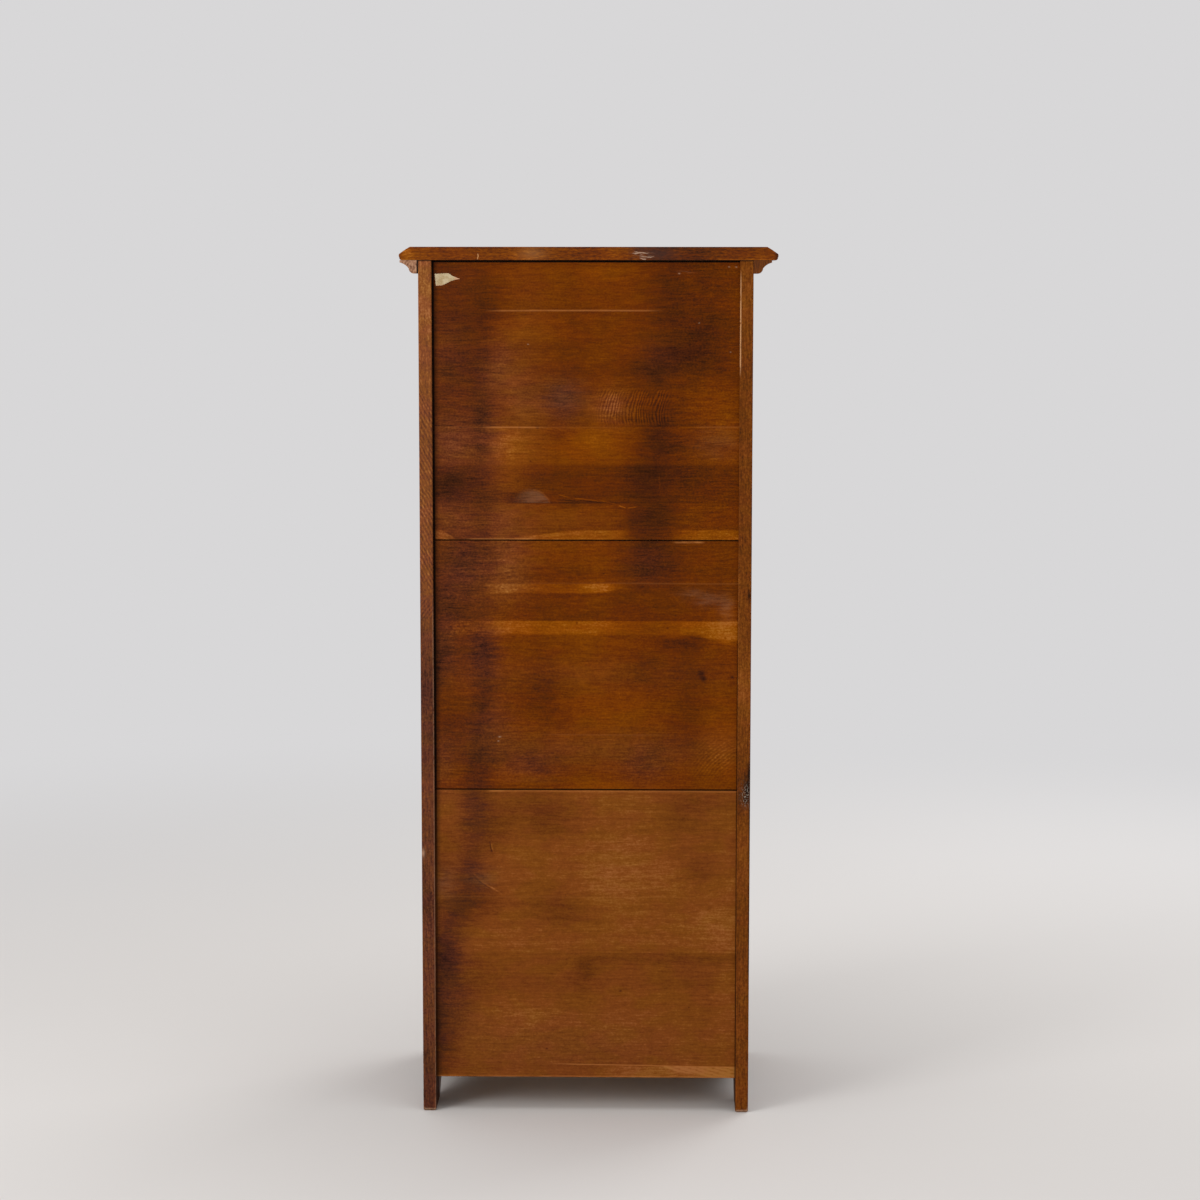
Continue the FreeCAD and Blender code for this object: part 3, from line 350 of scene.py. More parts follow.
# Stains, from dark to light
BACK_UPPER = shades(
    (0, 33, 15, 8), (0.25, 72, 33, 10), (0.5, 104, 47, 4), (0.75, 131, 66, 2),
    (0.88, 148, 79, 5), (1, 168, 101, 32),
)
BACK_LOWER = shades(
    (0, 36, 18, 14), (0.25, 72, 37, 20), (0.5, 103, 52, 15), (0.75, 131, 72, 22), (1, 166, 106, 50),
)
BACK_COLD = shades(
    (0, 35, 18, 13), (0.25, 72, 36, 23), (0.5, 100, 51, 27), (0.75, 128, 71, 36), (1, 164, 106, 62),
)
POST_STAIN = shades(
    (0, 34, 17, 12), (0.25, 76, 40, 26), (0.5, 108, 60, 34), (0.75, 138, 79, 36), (1, 174, 114, 62),
)
GOLDEN_STAIN = shades(
    (0, 34, 16, 6), (0.25, 74, 37, 10), (0.5, 110, 56, 10), (0.75, 140, 78, 22), (1, 178, 118, 56),
)
FRONT_STAIN = shades(
    (0, 34, 15, 8), (0.25, 64, 30, 13), (0.5, 96, 48, 18), (0.75, 126, 68, 27), (1, 160, 100, 52),
)
BARE_PINE = shades(
    (0, 92, 58, 30), (0.25, 132, 92, 54), (0.5, 166, 124, 80), (0.75, 190, 150, 104), (1, 208, 174, 130),
)
TURNED = shades((0, 26, 11, 7), (0.3, 54, 24, 12), (0.6, 84, 40, 18), (1, 122, 68, 34))
WORN_WOOD = colour(176, 124, 78)
CHIPPED_WOOD = colour(158, 106, 60)
RED_CAST = (1.02, 0.95, 1.1, 1)
GOLD_CAST = (0.99, 1.02, 0.88, 1)
PALE_GLUE = colour(180, 112, 56)
PALE_HAZE = colour(150, 116, 88)
FLECK_TONE = colour(206, 172, 138)
# near-black for dirt, dark joints and knots, and also for painted shade in corners, gaps and on faces turned
# from the light
DARK_GRIME_AND_SHADE = colour(22, 11, 6)


# ------------------------------------------------------------------------------
# The back: three panels of glued boards. Places are (x, z) in millimetres, and +x is on the left from behind
PANEL_TONE = {"upper": 0.545, "middle": 0.59, "lower": 0.665}
PANEL_SEED = {"upper": 3, "middle": 11, "lower": 19}
PANEL_FACE = (214, 220)       # y over which the outer face's stain begins
UPPER_SEAM = 1070
NEXT_BOARD = 733              # how far along the wood the next board was cut
BOARD_JOINTS = [
    # height of the joint, how far its edge is blurred, and how much lighter the wood is above it than below
    (1486, 0.8, 0.04), (1346, 0.8, 0), (1276, 0.8, -0.1), (1207, 7, 0.16), (1137, 1.2, -0.08),
    (990, 1.2, 0.04), (921, 1.2, -0.1), (710, 1.2, -0.02), (406, 1.2, 0), (301, 1, 0.06),
]
SOFT_PATCHES = [
    # x, z, half width, half height, how much lighter (+) or darker (-)
    # upper panel, left
    (195, 1530, 50, 60, -0.14), (250, 1480, 45, 90, -0.12), (180, 1480, 28, 50, -0.12),
    (215, 1380, 46, 60, -0.14), (262, 1330, 30, 60, -0.06), (190, 1290, 24, 34, -0.14),
    (195, 1240, 26, 40, -0.18), (262, 1245, 30, 30, -0.1), (245, 1172, 45, 28, -0.26),
    (190, 1130, 26, 60, -0.12), (140, 1150, 30, 60, 0.07), (262, 998, 20, 60, -0.09),
    # upper panel, middle
    (105, 1455, 60, 26, 0.14), (-50, 1440, 45, 50, 0.06), (20, 1390, 34, 34, -0.08),
    (70, 1555, 70, 20, 0.06), (45, 1325, 30, 34, -0.13), (-48, 1320, 24, 30, 0.2), (120, 1310, 40, 30, 0.1),
    (140, 1255, 40, 24, 0.14), (-15, 1245, 50, 26, 0.12), (60, 1180, 70, 20, -0.06),
    (140, 1190, 36, 30, 0.1), (20, 1112, 120, 22, 0.1),
    # upper panel, right
    (-150, 1510, 40, 70, -0.2), (-215, 1445, 50, 36, -0.26), (-120, 1375, 46, 28, -0.22),
    (-185, 1405, 60, 22, -0.22), (-215, 1535, 60, 40, -0.16), (-235, 1330, 50, 30, 0.08),
    (-140, 1310, 34, 30, -0.1), (-134, 1240, 46, 60, -0.3), (-100, 1180, 34, 30, -0.14),
    (-190, 1185, 50, 24, -0.1), (-125, 1108, 44, 40, -0.32), (-190, 1246, 60, 24, -0.12),
    (-128, 1262, 30, 30, -0.08), (160, 1410, 30, 60, 0.05), (-40, 1564, 44, 14, 0.09),
    (-160, 1562, 40, 14, -0.08), (-225, 1494, 50, 14, -0.1), (-225, 1376, 50, 24, -0.1),
    (188, 1350, 15, 100, -0.11), (100, 1297, 40, 20, 0.09), (48, 1260, 24, 14, -0.13),
    (-84, 1108, 18, 24, -0.12), (20, 1140, 40, 14, -0.08), (140, 1365, 44, 50, 0.09),
    (132, 1235, 34, 36, 0.11), (255, 1432, 30, 20, 0.1), (262, 1550, 24, 34, -0.09),
    (-255, 1290, 34, 12, 0.12), (-20, 1300, 16, 22, 0.1), (-180, 1550, 20, 18, 0.08),
    (-30, 1548, 44, 16, 0.06), (250, 1148, 30, 24, -0.06),
    # middle panel, left
    (210, 1035, 44, 40, -0.2), (235, 945, 50, 30, -0.14), (190, 868, 26, 34, -0.24),
    (262, 870, 24, 60, -0.2), (190, 780, 24, 60, -0.2), (225, 735, 44, 34, -0.14), (200, 655, 26, 50, -0.2),
    (255, 700, 24, 40, -0.14), (125, 800, 40, 60, -0.05), (145, 990, 36, 90, 0.13),
    (40, 1055, 100, 12, 0.12), (225, 850, 30, 30, -0.08), (190, 700, 30, 30, -0.07),
    # middle panel, middle
    (75, 790, 24, 60, -0.12), (85, 650, 34, 22, -0.14), (0, 800, 44, 80, 0.08), (-70, 755, 60, 34, 0.08),
    (120, 628, 50, 14, 0.1), (100, 1030, 80, 24, 0.05), (-20, 1020, 40, 30, 0.05),
    (-20, 1000, 18, 60, 0.07), (180, 855, 20, 60, -0.06), (-180, 948, 22, 18, 0.07),
    # middle panel, right
    (-115, 1030, 44, 36, -0.22), (-175, 880, 44, 14, -0.24), (-105, 835, 26, 40, -0.12),
    (-190, 745, 30, 40, -0.12), (-110, 660, 40, 26, -0.12), (-245, 690, 34, 60, 0.12),
    (-180, 825, 44, 60, -0.1), (-245, 905, 44, 30, 0.1), (50, 760, 80, 40, -0.04),
    (-262, 938, 14, 30, 0.12), (205, 889, 40, 10, -0.1), (150, 672, 90, 26, -0.08),
    # (272, 810) on the next line is a narrow dark strip against the post on the left: partly stain and partly
    # painted shade where the post's shadow falls
    (-180, 694, 60, 20, -0.09), (272, 810, 10, 70, -0.2), (-240, 935, 34, 16, 0.1),
    (-262, 885, 20, 10, 0.14), (-160, 1015, 20, 26, -0.08),
    # lower panel
    (208, 560, 26, 60, -0.3), (214, 450, 30, 44, -0.34), (230, 385, 34, 34, -0.3), (258, 300, 28, 70, -0.4),
    (255, 180, 30, 60, -0.22), (80, 570, 60, 44, -0.16), (40, 372, 54, 26, -0.14), (0, 276, 20, 24, -0.12),
    (-200, 255, 40, 34, -0.05), (-205, 455, 34, 40, -0.12), (-180, 570, 44, 40, -0.12),
    (-60, 480, 70, 70, 0.06), (-235, 350, 40, 34, 0.08), (110, 190, 70, 24, 0.08), (-60, 150, 90, 34, 0.05),
    (150, 545, 20, 40, -0.1), (255, 540, 20, 60, -0.06), (60, 400, 60, 30, -0.1), (180, 398, 26, 30, -0.14),
    (258, 110, 26, 50, -0.15), (-262, 240, 20, 90, 0.08), (180, 560, 30, 60, -0.07),
    (200, 240, 40, 60, -0.07), (60, 548, 70, 40, -0.06), (5, 252, 34, 36, -0.09),
    (-230, 592, 34, 16, -0.08), (262, 450, 12, 30, -0.12), (268, 352, 12, 20, 0.1), (-20, 614, 90, 12, 0.1),
    (-40, 440, 60, 60, 0.06), (-150, 445, 40, 26, 0.08), (90, 170, 50, 16, 0.05),
    # (272, 150) on the next line is the same: a dark strip against the post on the left, partly stain and
    # partly painted shade
    (272, 150, 13, 100, -0.24), (222, 205, 22, 44, -0.08), (180, 535, 20, 60, -0.08),
    (262, 300, 20, 60, -0.05), (262, 470, 18, 50, -0.06),
]
COLD_PATCHES = [
    # x, z, half width, half height, how far the stain turns to a cold purple brown
    (240, 1550, 60, 34, 0.15), (250, 1400, 44, 90, 0.5), (160, 1385, 34, 50, 0.6),
    (250, 1245, 50, 60, 0.85), (180, 1260, 34, 90, 0.6), (115, 1325, 30, 44, 0.4), (250, 1120, 50, 50, 0.6),
    (160, 1110, 50, 60, 0.4), (45, 1325, 34, 36, 0.65), (-50, 1312, 30, 30, 0.55),
    (-130, 1400, 34, 34, 0.25), (225, 1010, 60, 70, 0.8), (140, 1020, 40, 60, 0.5), (190, 860, 30, 60, 0.7),
    (262, 880, 30, 80, 0.7), (180, 720, 44, 60, 0.6), (262, 660, 24, 60, 0.5), (-115, 1025, 40, 34, 0.35),
    (-110, 660, 44, 34, 0.45), (100, 655, 50, 26, 0.5), (205, 570, 26, 60, 0.55), (212, 450, 30, 40, 0.5),
    (255, 300, 34, 80, 0.65), (245, 190, 40, 50, 0.45), (60, 120, 260, 60, 0.3),
]
OLIVE_PATCHES = [
    # x, z, half width, half height, how far the orange stain turns to a plainer brown
    (108, 1330, 40, 200, 0.45), (0, 1310, 70, 30, 0.35), (100, 1100, 200, 30, 0.35), (0, 822, 300, 30, 0.4),
    (0, 683, 400, 32, 0.75),
]
HAZE_PATCHES = [
    # x, z, half width, half height, how much pale haze lies on the stain
    (-195, 974, 22, 9, 0.15), (-226, 962, 22, 11, 0.18), (-255, 944, 12, 20, 0.2),
    (-240, 1246, 40, 26, 0.08), (262, 430, 20, 30, 0.12), (190, 440, 26, 16, 0.1),
    (-175, 1554, 10, 2, 0.22), (40, 1330, 40, 26, 0.07),
]
DARK_SPOTS = [
    # x, z, radius
    (227, 1274, 2.2), (121, 1274, 2.6), (88, 1275, 3), (-211, 824, 6.5), (-216, 815, 5), (-268, 818, 3.6),
    (-65, 229, 2.4), (-192, 199, 1.8), (16, 917, 2), (-255, 890, 2.2), (-150, 908, 2.2), (100, 1213, 2),
    (72, 118, 2.2), (-33, 1008, 1.4),
]
PALE_FLECKS = [
    (-258, 1564, 1.3), (-271, 1564, 1.5), (-169, 1553, 1.6), (104, 1425, 1.2), (-205, 1463, 1.2),
    (158, 706, 2), (160, 698, 1.4), (-262, 1412, 1.2),
]
SCRATCHES = [
    # start, end, width, how much lighter (+) or darker (-)
    ((52, 1153), (28, 1147), 1.6, 0.26), ((30, 1147), (-30, 1140), 1.3, 0.34),
    ((-20, 1144), (-62, 1133), 1.3, 0.24), ((-58, 1134), (-75, 1128), 1.6, 0.38),
    ((-72, 1127), (-96, 1131), 1.6, 0.36), ((66, 1144), (-40, 1137.5), 1.4, -0.22),
    ((178, 512), (173, 486), 1.8, -0.3), ((174, 508), (170, 488), 1.4, 0.2),
    ((214, 455), (182, 428), 2.6, 0.13), ((205, 440), (170, 418), 1.8, -0.2),
    ((196, 436), (154, 412), 2.4, 0.2), ((-133, 1196), (-136, 1150), 1.2, 0.14),
    ((-60, 792), (-64, 776), 1.2, 0.12),
]
BANDS = {
    # (lowest z, highest z, softness), then each (start, end) in x between which the band fades in
    "glue_1486": ((1484.6, 1487.2, 1), (188, 140), (-150, -90)),
    "glue_1275": ((1273.6, 1276, 1.1), (-70, -30)),
    "glue_1275_right": ((1274, 1276.6, 1), (-190, -215)),
    "joint_1137": ((1136, 1138.6, 1), (-90, -40), (170, 120)),
    "glue_990": ((989, 991.6, 1), (190, 150)),
    "glue_710": ((709, 711.2, 1), (110, 40), (-200, -80)),
    "glue_406": ((404.8, 407.2, 1.2), (-240, -100)),
}


def band(name, x, z):
    """1 on that band across a panel."""
    span, *fades = BANDS[name]
    shown = stripe(z, *span)
    for start, end in fades:
        shown = shown * x.ramp(start, end)
    return shown


def near_part(rows, bottom, top, reach=3):
    """The rows that can be seen between those heights; row[reach] is how far each goes."""
    return [row for row in rows if bottom - 2 * row[reach] < row[1] < top + 2 * row[reach]]


def upper_stripes(board, z, tone, patchy):
    """The thin pale glue lines and the sapwood edge of the upper panel."""
    x = board.x
    glue = band("glue_1486", x, z) * patchy.ramp(0.1, 0.6).times_plus(0.36, 0.16)
    brighter = x.ramp(60, 110) * x.ramp(195, 165)
    glue = (band("glue_1275", x, z) * brighter.times_plus(0.52, 0.06)).most(glue)
    glue = (band("glue_1275_right", x, z) * 0.16).most(glue)
    tone = band("joint_1137", x, z).times_plus(-0.2, tone)
    # the sapwood's height above the seam: from 2.5 mm to about 19 mm, in three humps with two gaps
    thick = x.ramp(175, -15).times_plus(16, 2.5)
    thick = thick.most(x.ramp(228, 268) * 18).most(x.ramp(-150, -215) * 19)
    sap = (thick + UPPER_SEAM - z).ramp(-1.5, 3)
    broken = x.ramp(-92, -58).most(x.ramp(-140, -200)) * x.ramp(165, 100).most(x.ramp(220, 250))
    rubbed = stripe(z, UPPER_SEAM - 0.4, UPPER_SEAM + 2.4, 1) * stripe(x, 96, 214, 14)
    glue = (rubbed * 0.5).most(glue)
    return (sap * broken * patchy.times_plus(0.7, 0.55)).times_plus(0.3, tone), glue


def middle_stripes(board, z, tone, patchy):
    """The pale streak, the broad orange stripe and the thin lines of the middle panel."""
    x = board.x
    streak_bottom = x.ramp(-10, -90).times_plus(9, 972)
    streak = (z - streak_bottom).ramp(-3, 3) * z.ramp(991, 988) * x.ramp(200, 160) * x.ramp(-100, -40)
    brighter = x.ramp(40, -20) * x.ramp(-75, -30)
    tone = (streak * brighter.times_plus(0.17, patchy.times_plus(0.16, 0.14))).times_plus(1, tone)
    orange_bottom = x.ramp(-195, -240).times_plus(-10, 896)
    orange = (z - orange_bottom).ramp(-3, 3) * z.ramp(922.6, 919.4)
    speckle = board.noise((5, 5, 5), 2, 0.6, 4)
    shown = x.ramp(200, 160).most(speckle.ramp(0.42, 0.62) * x.ramp(266, 240) * 0.7)
    dull = board.patch(board.here, -105, 908, 46, 30).times_plus(-0.6, 1)
    tone = (orange * shown * dull * patchy.times_plus(0.3, 0.75)).times_plus(0.26, tone)
    glue = band("glue_990", x, z) * x.ramp(30, -120).times_plus(0.08, 0.06)
    glue = (band("glue_710", x, z) * 0.12).most(glue)
    rubbed = stripe(z, UPPER_SEAM - 5.8, UPPER_SEAM - 2.4, 1) * stripe(x, -212, -160, 8)
    return tone, (rubbed * patchy.ramp(0.3, 0.6) * 0.75).most(glue)


def lower_stripes(board, z, tone, patchy):
    """The faint glue line, the board line and the cross-grained wedge of the lower panel."""
    x = board.x
    glue = band("glue_406", x, z) * 0.08
    rubbed = stripe(x, 152, 178, 5).times_plus(0.36, x.ramp(196, 150).times_plus(0.28, 0.04))
    glue = (stripe(z, 603.6, 606.2, 1) * rubbed).most(glue)
    tone = (z.ramp(270, 292) * z.ramp(301.8, 300.2) * x.ramp(60, -120)).times_plus(-0.08, tone)
    tone = z.ramp(280, 120).times_plus(0.035, tone)
    # the wedge: its upper edge falls from 90 mm to 85 mm, and slanting grain crosses its far corner
    wedge_top = x.ramp(90, -275, smooth=False).times_plus(-5, 90)
    glue = ((z - wedge_top).abs().ramp(1.8, 0.4) * x.ramp(80, 20) * 0.5).most(glue)
    glue = (z.ramp(67.8, 65.8) * patchy.ramp(0.25, 0.55) * 0.45).most(glue)
    low = (wedge_top - z).ramp(-1, 1.5)
    grain = (x.times_plus(-0.3, z) * 0.9 + board.lines * 9).sine()
    diagonal = (x * -0.19 + z).ramp(107, 111) * x.ramp(-120, -150)
    plain = x.ramp(20, -90).times_plus(0.16, -0.03)
    rise = (diagonal * grain.times_plus(0.12, 0.18)).times_plus(1, plain)
    return (low * rise).times_plus(1, tone), glue


RIPPLE_MIDDLE_Z = 1296
SCRAPE_X = 101
SCRAPE_Z = 1124
SCRAPE_FLAT = (1136.5, 1139)  # the joint that cuts the scrape's disc to a half round
SWIRL_X = -335
SWIRL_Z = 560


def upper_figure(board, drawn, tone, haze):
    """The ripple figure and the half-round scrape of the upper panel."""
    x, z = board.x, board.z
    warp = board.noise((16, 16, 34), 2, 0.55, 21)
    curl = (x + (z - RIPPLE_MIDDLE_Z) * (z - RIPPLE_MIDDLE_Z) * 0.006) * 1.15
    ripple = warp.times_plus(15, curl).sine()
    where = stripe(z, 1282, 1342, 8) * stripe(x, -150, -26, 16) * warp.ramp(0.22, 0.48)
    tone = (ripple * where).times_plus(0.17, tone)
    reach = vector_math("DISTANCE", drawn, vector(SCRAPE_X, board.y, SCRAPE_Z))
    above = z.ramp(*SCRAPE_FLAT)
    disc = reach.ramp(42, 32) * above
    rim = (reach - 38).abs().ramp(2, 0.4) * above * x.ramp(100, 80)
    shadow = board.patch(drawn, 128, 1146, 26, 13) * above
    return varied(tone, (shadow, -0.22), (rim, 0.14)), (disc * x.ramp(140, 94)).times_plus(0.24, haze)


def middle_figure(board, drawn, tone):
    """The swirl of cross grain at the right of the middle panel."""
    reach = vector_math("DISTANCE", drawn, vector(SWIRL_X, board.y, SWIRL_Z))
    rings = (board.lines.times_plus(7, reach) * 1.1).sine()
    where = board.patch(drawn, -240, 664, 38, 34)
    return (rings * where).times_plus(0.11, tone)


def drawn_marks(board, drawn, bottom, top, tone):
    """The tone with that panel's scratches and dark spots, and the mask of its pale flecks."""
    for start, end, width, amount in SCRATCHES:
        if bottom < start[1] < top:
            tone = board.scratch(drawn, start, end, width).times_plus(amount, tone)
    for px, pz, radius in near_part(DARK_SPOTS, bottom, top, 2):
        tone = board.patch(drawn, px, pz, radius, 0.8 * radius).times_plus(-0.34, tone)
    fleck = 0
    for px, pz, radius in near_part(PALE_FLECKS, bottom, top, 2):
        fleck = board.patch(drawn, px, pz, 1.2 * radius, 0.7 * radius).times_plus(0.38, fleck)
    return tone, fleck


def back_panel(part):
    """One of the three back panels, with the stripes, stains and scrapes of its outer face."""
    node = "back_panel_" + part
    low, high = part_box(node)
    bottom, top = low.z / MM, high.z / MM
    lower = part == "lower"
    seed = PANEL_SEED[part]
    board = Board("wood_" + node, "X", seed)
    x, z = board.x, board.z
    wander = board.noise((160, 60, 40), 2, 0.5, seed)
    joint_z = (wander - 0.5).times_plus(2.4, z)
    tone, jump = PANEL_TONE[part], 0
    for height, blur, lighter in BOARD_JOINTS:
        if bottom < height < top:
            above = joint_z.ramp(height - blur, height + blur)
            tone = above.times_plus(lighter, tone)
            jump = above.times_plus(NEXT_BOARD, jump)
    board.grow((0.5 * (bottom + top) + 90, 160), ring=7, tilt=0.015, bend=30, sway=5, jump=jump, line=3.4)

    # the stain soaked in along the grain, so its patches end in short level streaks
    soaked = board.strayed(board.noise((60, 40, 9), 3, 0.6, seed + 7, coloured=True), 50, 36)
    tone = board.patches(soaked, near_part(SOFT_PATCHES, bottom, top), tone)
    cold = board.patches(soaked, near_part(COLD_PATCHES, bottom, top), 0)
    haze = board.patches(soaked, near_part(HAZE_PATCHES, bottom, top), 0)
    patchy = board.noise((36, 36, 7), 2, 0.5, seed + 9)
    stripes = {"upper": upper_stripes, "middle": middle_stripes, "lower": lower_stripes}[part]
    tone, glue = stripes(board, joint_z, tone, patchy)

    wobble = board.noise((14, 14, 14), 2, 0.5, seed + 11, coloured=True)
    drawn = board.strayed(wobble, 4, 4)
    tone, fleck = drawn_marks(board, drawn, bottom, top, tone)

    coarse = cold.times_plus(0.8, 0.9)
    if part == "upper":
        coarse = x.ramp(-130, -190).times_plus(0.4, coarse)
    grit = board.noise((3.8, 3.8, 3), 2, 0.6, seed + 10)
    tone = varied(
        tone, (board.streak - 0.5, 0.12), ((board.lines - 0.5) * coarse, 0.42 if lower else 0.56),
        ((grit - 0.5) * coarse, 0.34 if lower else 0.46), (board.cloud - 0.5, 0.14),
        (parts_of(wobble)[1] - 0.5, 0.16), (board.late - 0.35, -0.04), (board.pore, -0.08),
    )
    if part == "upper":
        tone, haze = upper_figure(board, drawn, tone, haze)
    if part == "middle":
        tone = middle_figure(board, drawn, tone)
    stain = through_ramp(tone, BACK_LOWER if lower else BACK_UPPER)
    if not lower:
        olive = board.patches(soaked, near_part(OLIVE_PATCHES, bottom, top), 0)
        stain = mixed(stain, through_ramp(tone, BACK_LOWER), olive.clamped())
    stain = board.blotched(mixed(stain, through_ramp(tone, BACK_COLD), cold.clamped()))
    haze = (haze * board.lines.ramp(0.2, 0.6)).clamped()
    stain = layered(stain, (PALE_HAZE, haze), (PALE_GLUE, glue), (FLECK_TONE, fleck))

    # painted shade with some dirt in the corner beside the post on the left, where the post's shadow falls;
    # painted shade in the gap under the top; the dark joint on the right
    shade_and_joint = x.ramp(264, 273.5).times_plus(0.5, x.ramp(273, 275.6) * 0.5)
    shade_and_joint = shade_and_joint * z.ramp(300, 700).times_plus(0.4, 0.6)
    shade_and_joint = shade_and_joint.most(x.ramp(-276.4, -277.8) * z.ramp(1010, 760) * 0.85)
    shade_and_joint = (shade_and_joint * patchy.times_plus(0.3, 0.85)).most(z.ramp(1571.4, 1572.6))
    stain = mixed(stain, DARK_GRIME_AND_SHADE, shade_and_joint.clamped())
    outer = board.y.ramp(*PANEL_FACE)
    base = mixed(through_ramp(board.tone(0.42), BARE_PINE), stain, outer)

    edge, soft = board.arris(0.9)
    base = mixed(base, CHIPPED_WOOD, edge * patchy.ramp(0.34, 0.6) * outer * 0.6)
    # the panels' edges at the seams and under the top: dark joint lines widened with painted shade
    seam_shade = 0 if lower else z.ramp(bottom + 1.4, bottom + 0.4)
    seam_shade = z.ramp(top - 1.1, top - 0.3).most(seam_shade)
    base = mixed(base, DARK_GRIME_AND_SHADE, seam_shade * patchy.times_plus(0.8, 0.4) * outer)
    board.set(base_color=base, roughness=0.68, specular_ior_level=0.025)
    board.bump(board.lines.times_plus(0.6, board.pore * -0.5), 0.12, 0.6, Normal=soft)
    dress([node], board)


# ------------------------------------------------------------------------------
# The case, doors and drawers
POST_MIDDLE = 291             # x of a rear post's middle
POST_FACE = (226, 228.6)      # y over which a post's planed rear face begins
TOP_FACE = (226.5, 228.8)
CROWN_FACE = (227, 228.8)
UNDER_TOP = (1573.4, 1574.6)
TOP_MIDDLE_Z = 1588
EVERYWHERE = 900              # half a patch's size in a direction along which it doesn't fade
RUBBED_ARRIS = colour(168, 126, 98)
WORN_AND_LIT_ARRIS = colour(196, 144, 98)
FOOT_END = colour(168, 134, 106)
FOOT_CORNER = colour(156, 122, 96)
KNOT_FIBRES = colour(160, 146, 130)
COLD_STAIN = colour(62, 40, 34)
SCUFFED = colour(190, 160, 136)
PALE_MARK = colour(206, 150, 96)
VEIL = colour(150, 106, 66)
CUT_END = shades((0.3, 96, 60, 40), (0.5, 158, 112, 84), (0.7, 184, 140, 108))
REAR_POST_ZONES = {
    # height of the zone's middle, half its height, how much lighter (+) or darker (-)
    "post_rear_right": [(1540, 110, 0.22), (1400, 120, 0.12), (1150, 130, 0.1), (1010, 60, 0.05),
                        (900, 60, -0.05), (800, 55, -0.22), (690, 60, -0.12), (520, 60, -0.08),
                        (390, 60, -0.16), (280, 60, -0.06), (60, 130, -0.18)],
    "post_rear_left": [(1500, 60, 0.07), (1110, 130, -0.02), (800, 50, 0.15), (605, 34, -0.16),
                       (480, 60, 0.05), (120, 120, 0.04)],
}
KNOTS = [
    # x, z, half width, half height, how dark; the knot and the stains of the post on the right from behind
    (-298, 970, 3.5, 9, 0.7), (-300.5, 640, 3.6, 24, 0.8), (-297.5, 612, 6, 20, 0.9), (-294, 592, 6, 9, 0.6),
]
SCUFF_STROKES = [
    # start, end, width
    ((-80, 1588), (-116, 1590.5), 1.5), ((-94, 1584), (-126, 1581), 1.3),
    ((-97, 1579.5), (-110, 1578), 1.7), ((-86, 1592), (-102, 1589), 1),
]
TOP_EDGE_ZONES = [
    # x of the zone's middle, half its width, how much lighter (+) or darker (-)
    (322, 12, 0.3), (296, 16, 0.12), (225, 44, 0.02), (108, 30, 0.18), (0, 26, -0.04),
    (-50, 24, 0.1), (-130, 24, -0.1), (-185, 44, -0.22), (-250, 40, -0.08), (-325, 18, 0.04),
]


def rear_post(node, seed):
    """A rear post: polished at the sides, and planed square and rubbed at the rear, with a dark joint line
    under the top and painted shade on its inner face low down.
    """
    board = Board("wood_" + node, "Z", seed)
    x, z = board.x, board.z
    side = 1 if node.endswith("right") else -1
    board.grow((side * POST_MIDDLE + 60, 150), ring=3.6, tilt=0.03, sway=4, line=3)
    polished = through_ramp(board.tone(0.5), FRONT_STAIN)
    fleck = board.noise((4, 4, 9), 2, 0.6, seed + 8)
    grit = board.noise((3.4, 3.4, 4.2), 2, 0.65, seed + 9)
    tone = board.tone(0.52, streak=0.2, lines=0.65, late=0.05, pore=0.1, cloud=0.1)
    for middle, half, lighter in REAR_POST_ZONES[node]:
        zone = board.patch(board.here, side * POST_MIDDLE, middle, EVERYWHERE, half)
        tone = zone.times_plus(lighter, tone)
    tone = (grit - 0.5).times_plus(0.7, tone)
    if side > 0:
        tone = left_post_figure(board, tone)
        stain = board.blotched(through_ramp(tone, POST_STAIN))
        chip = board.patch(board.here, 300, 489, 3, 7)
        worn = (x - 279.4).abs().ramp(1.2, 0.3) * z.ramp(1010, 900) * fleck.ramp(0.25, 0.55)
        stain = mixed(stain, RUBBED_ARRIS, chip.most(worn * 0.5))
    else:
        stain = right_post_marks(board, board.blotched(through_ramp(tone, GOLDEN_STAIN)), fleck)
    outer_corner = (x.abs() * 2 - z).ramp(588, 600)
    stain = layered(
        stain, (WORN_WOOD, fleck.ramp(0.68, 0.8) * 0.35),
        (FOOT_END, z.ramp(6.5, 3) * fleck.ramp(0.25, 0.5) * 0.8),
        (FOOT_CORNER, outer_corner * fleck.ramp(0.35, 0.5) * 0.8),
    )
    # painted shade on the post's inner face low down, where it faces in under the case
    shaded_inner_face = (x.abs() - 279).ramp(0.4, -0.2) * z.ramp(330, 150)
    under_top = z.ramp(*UNDER_TOP) * 0.8
    outer = board.y.ramp(*POST_FACE)
    stain = layered(polished, (stain, outer), (DARK_GRIME_AND_SHADE, shaded_inner_face * 0.6), (DARK_GRIME_AND_SHADE, under_top))
    board.finish(node, stain, 0.55, 0.05)


def left_post_figure(board, tone):
    """The slanting figure of the post on the left from behind, and the crossing below it."""
    x, z = board.x, board.z
    patchy = board.noise((20, 20, 44), 2, 0.5, 12)
    slant = (x * 0.95 - z * 0.5 + board.cloud * 14 + patchy * 12).sine()
    figured = z.ramp(1380, 1350) * z.ramp(960, 1000) * patchy.ramp(0.3, 0.55)
    tone = (slant * figured).times_plus(0.12, tone)
    crossed = stripe(z, 924, 962, 6)
    return (z.times_plus(0.7, x * 0.9).sine() * crossed).times_plus(0.09, tone)


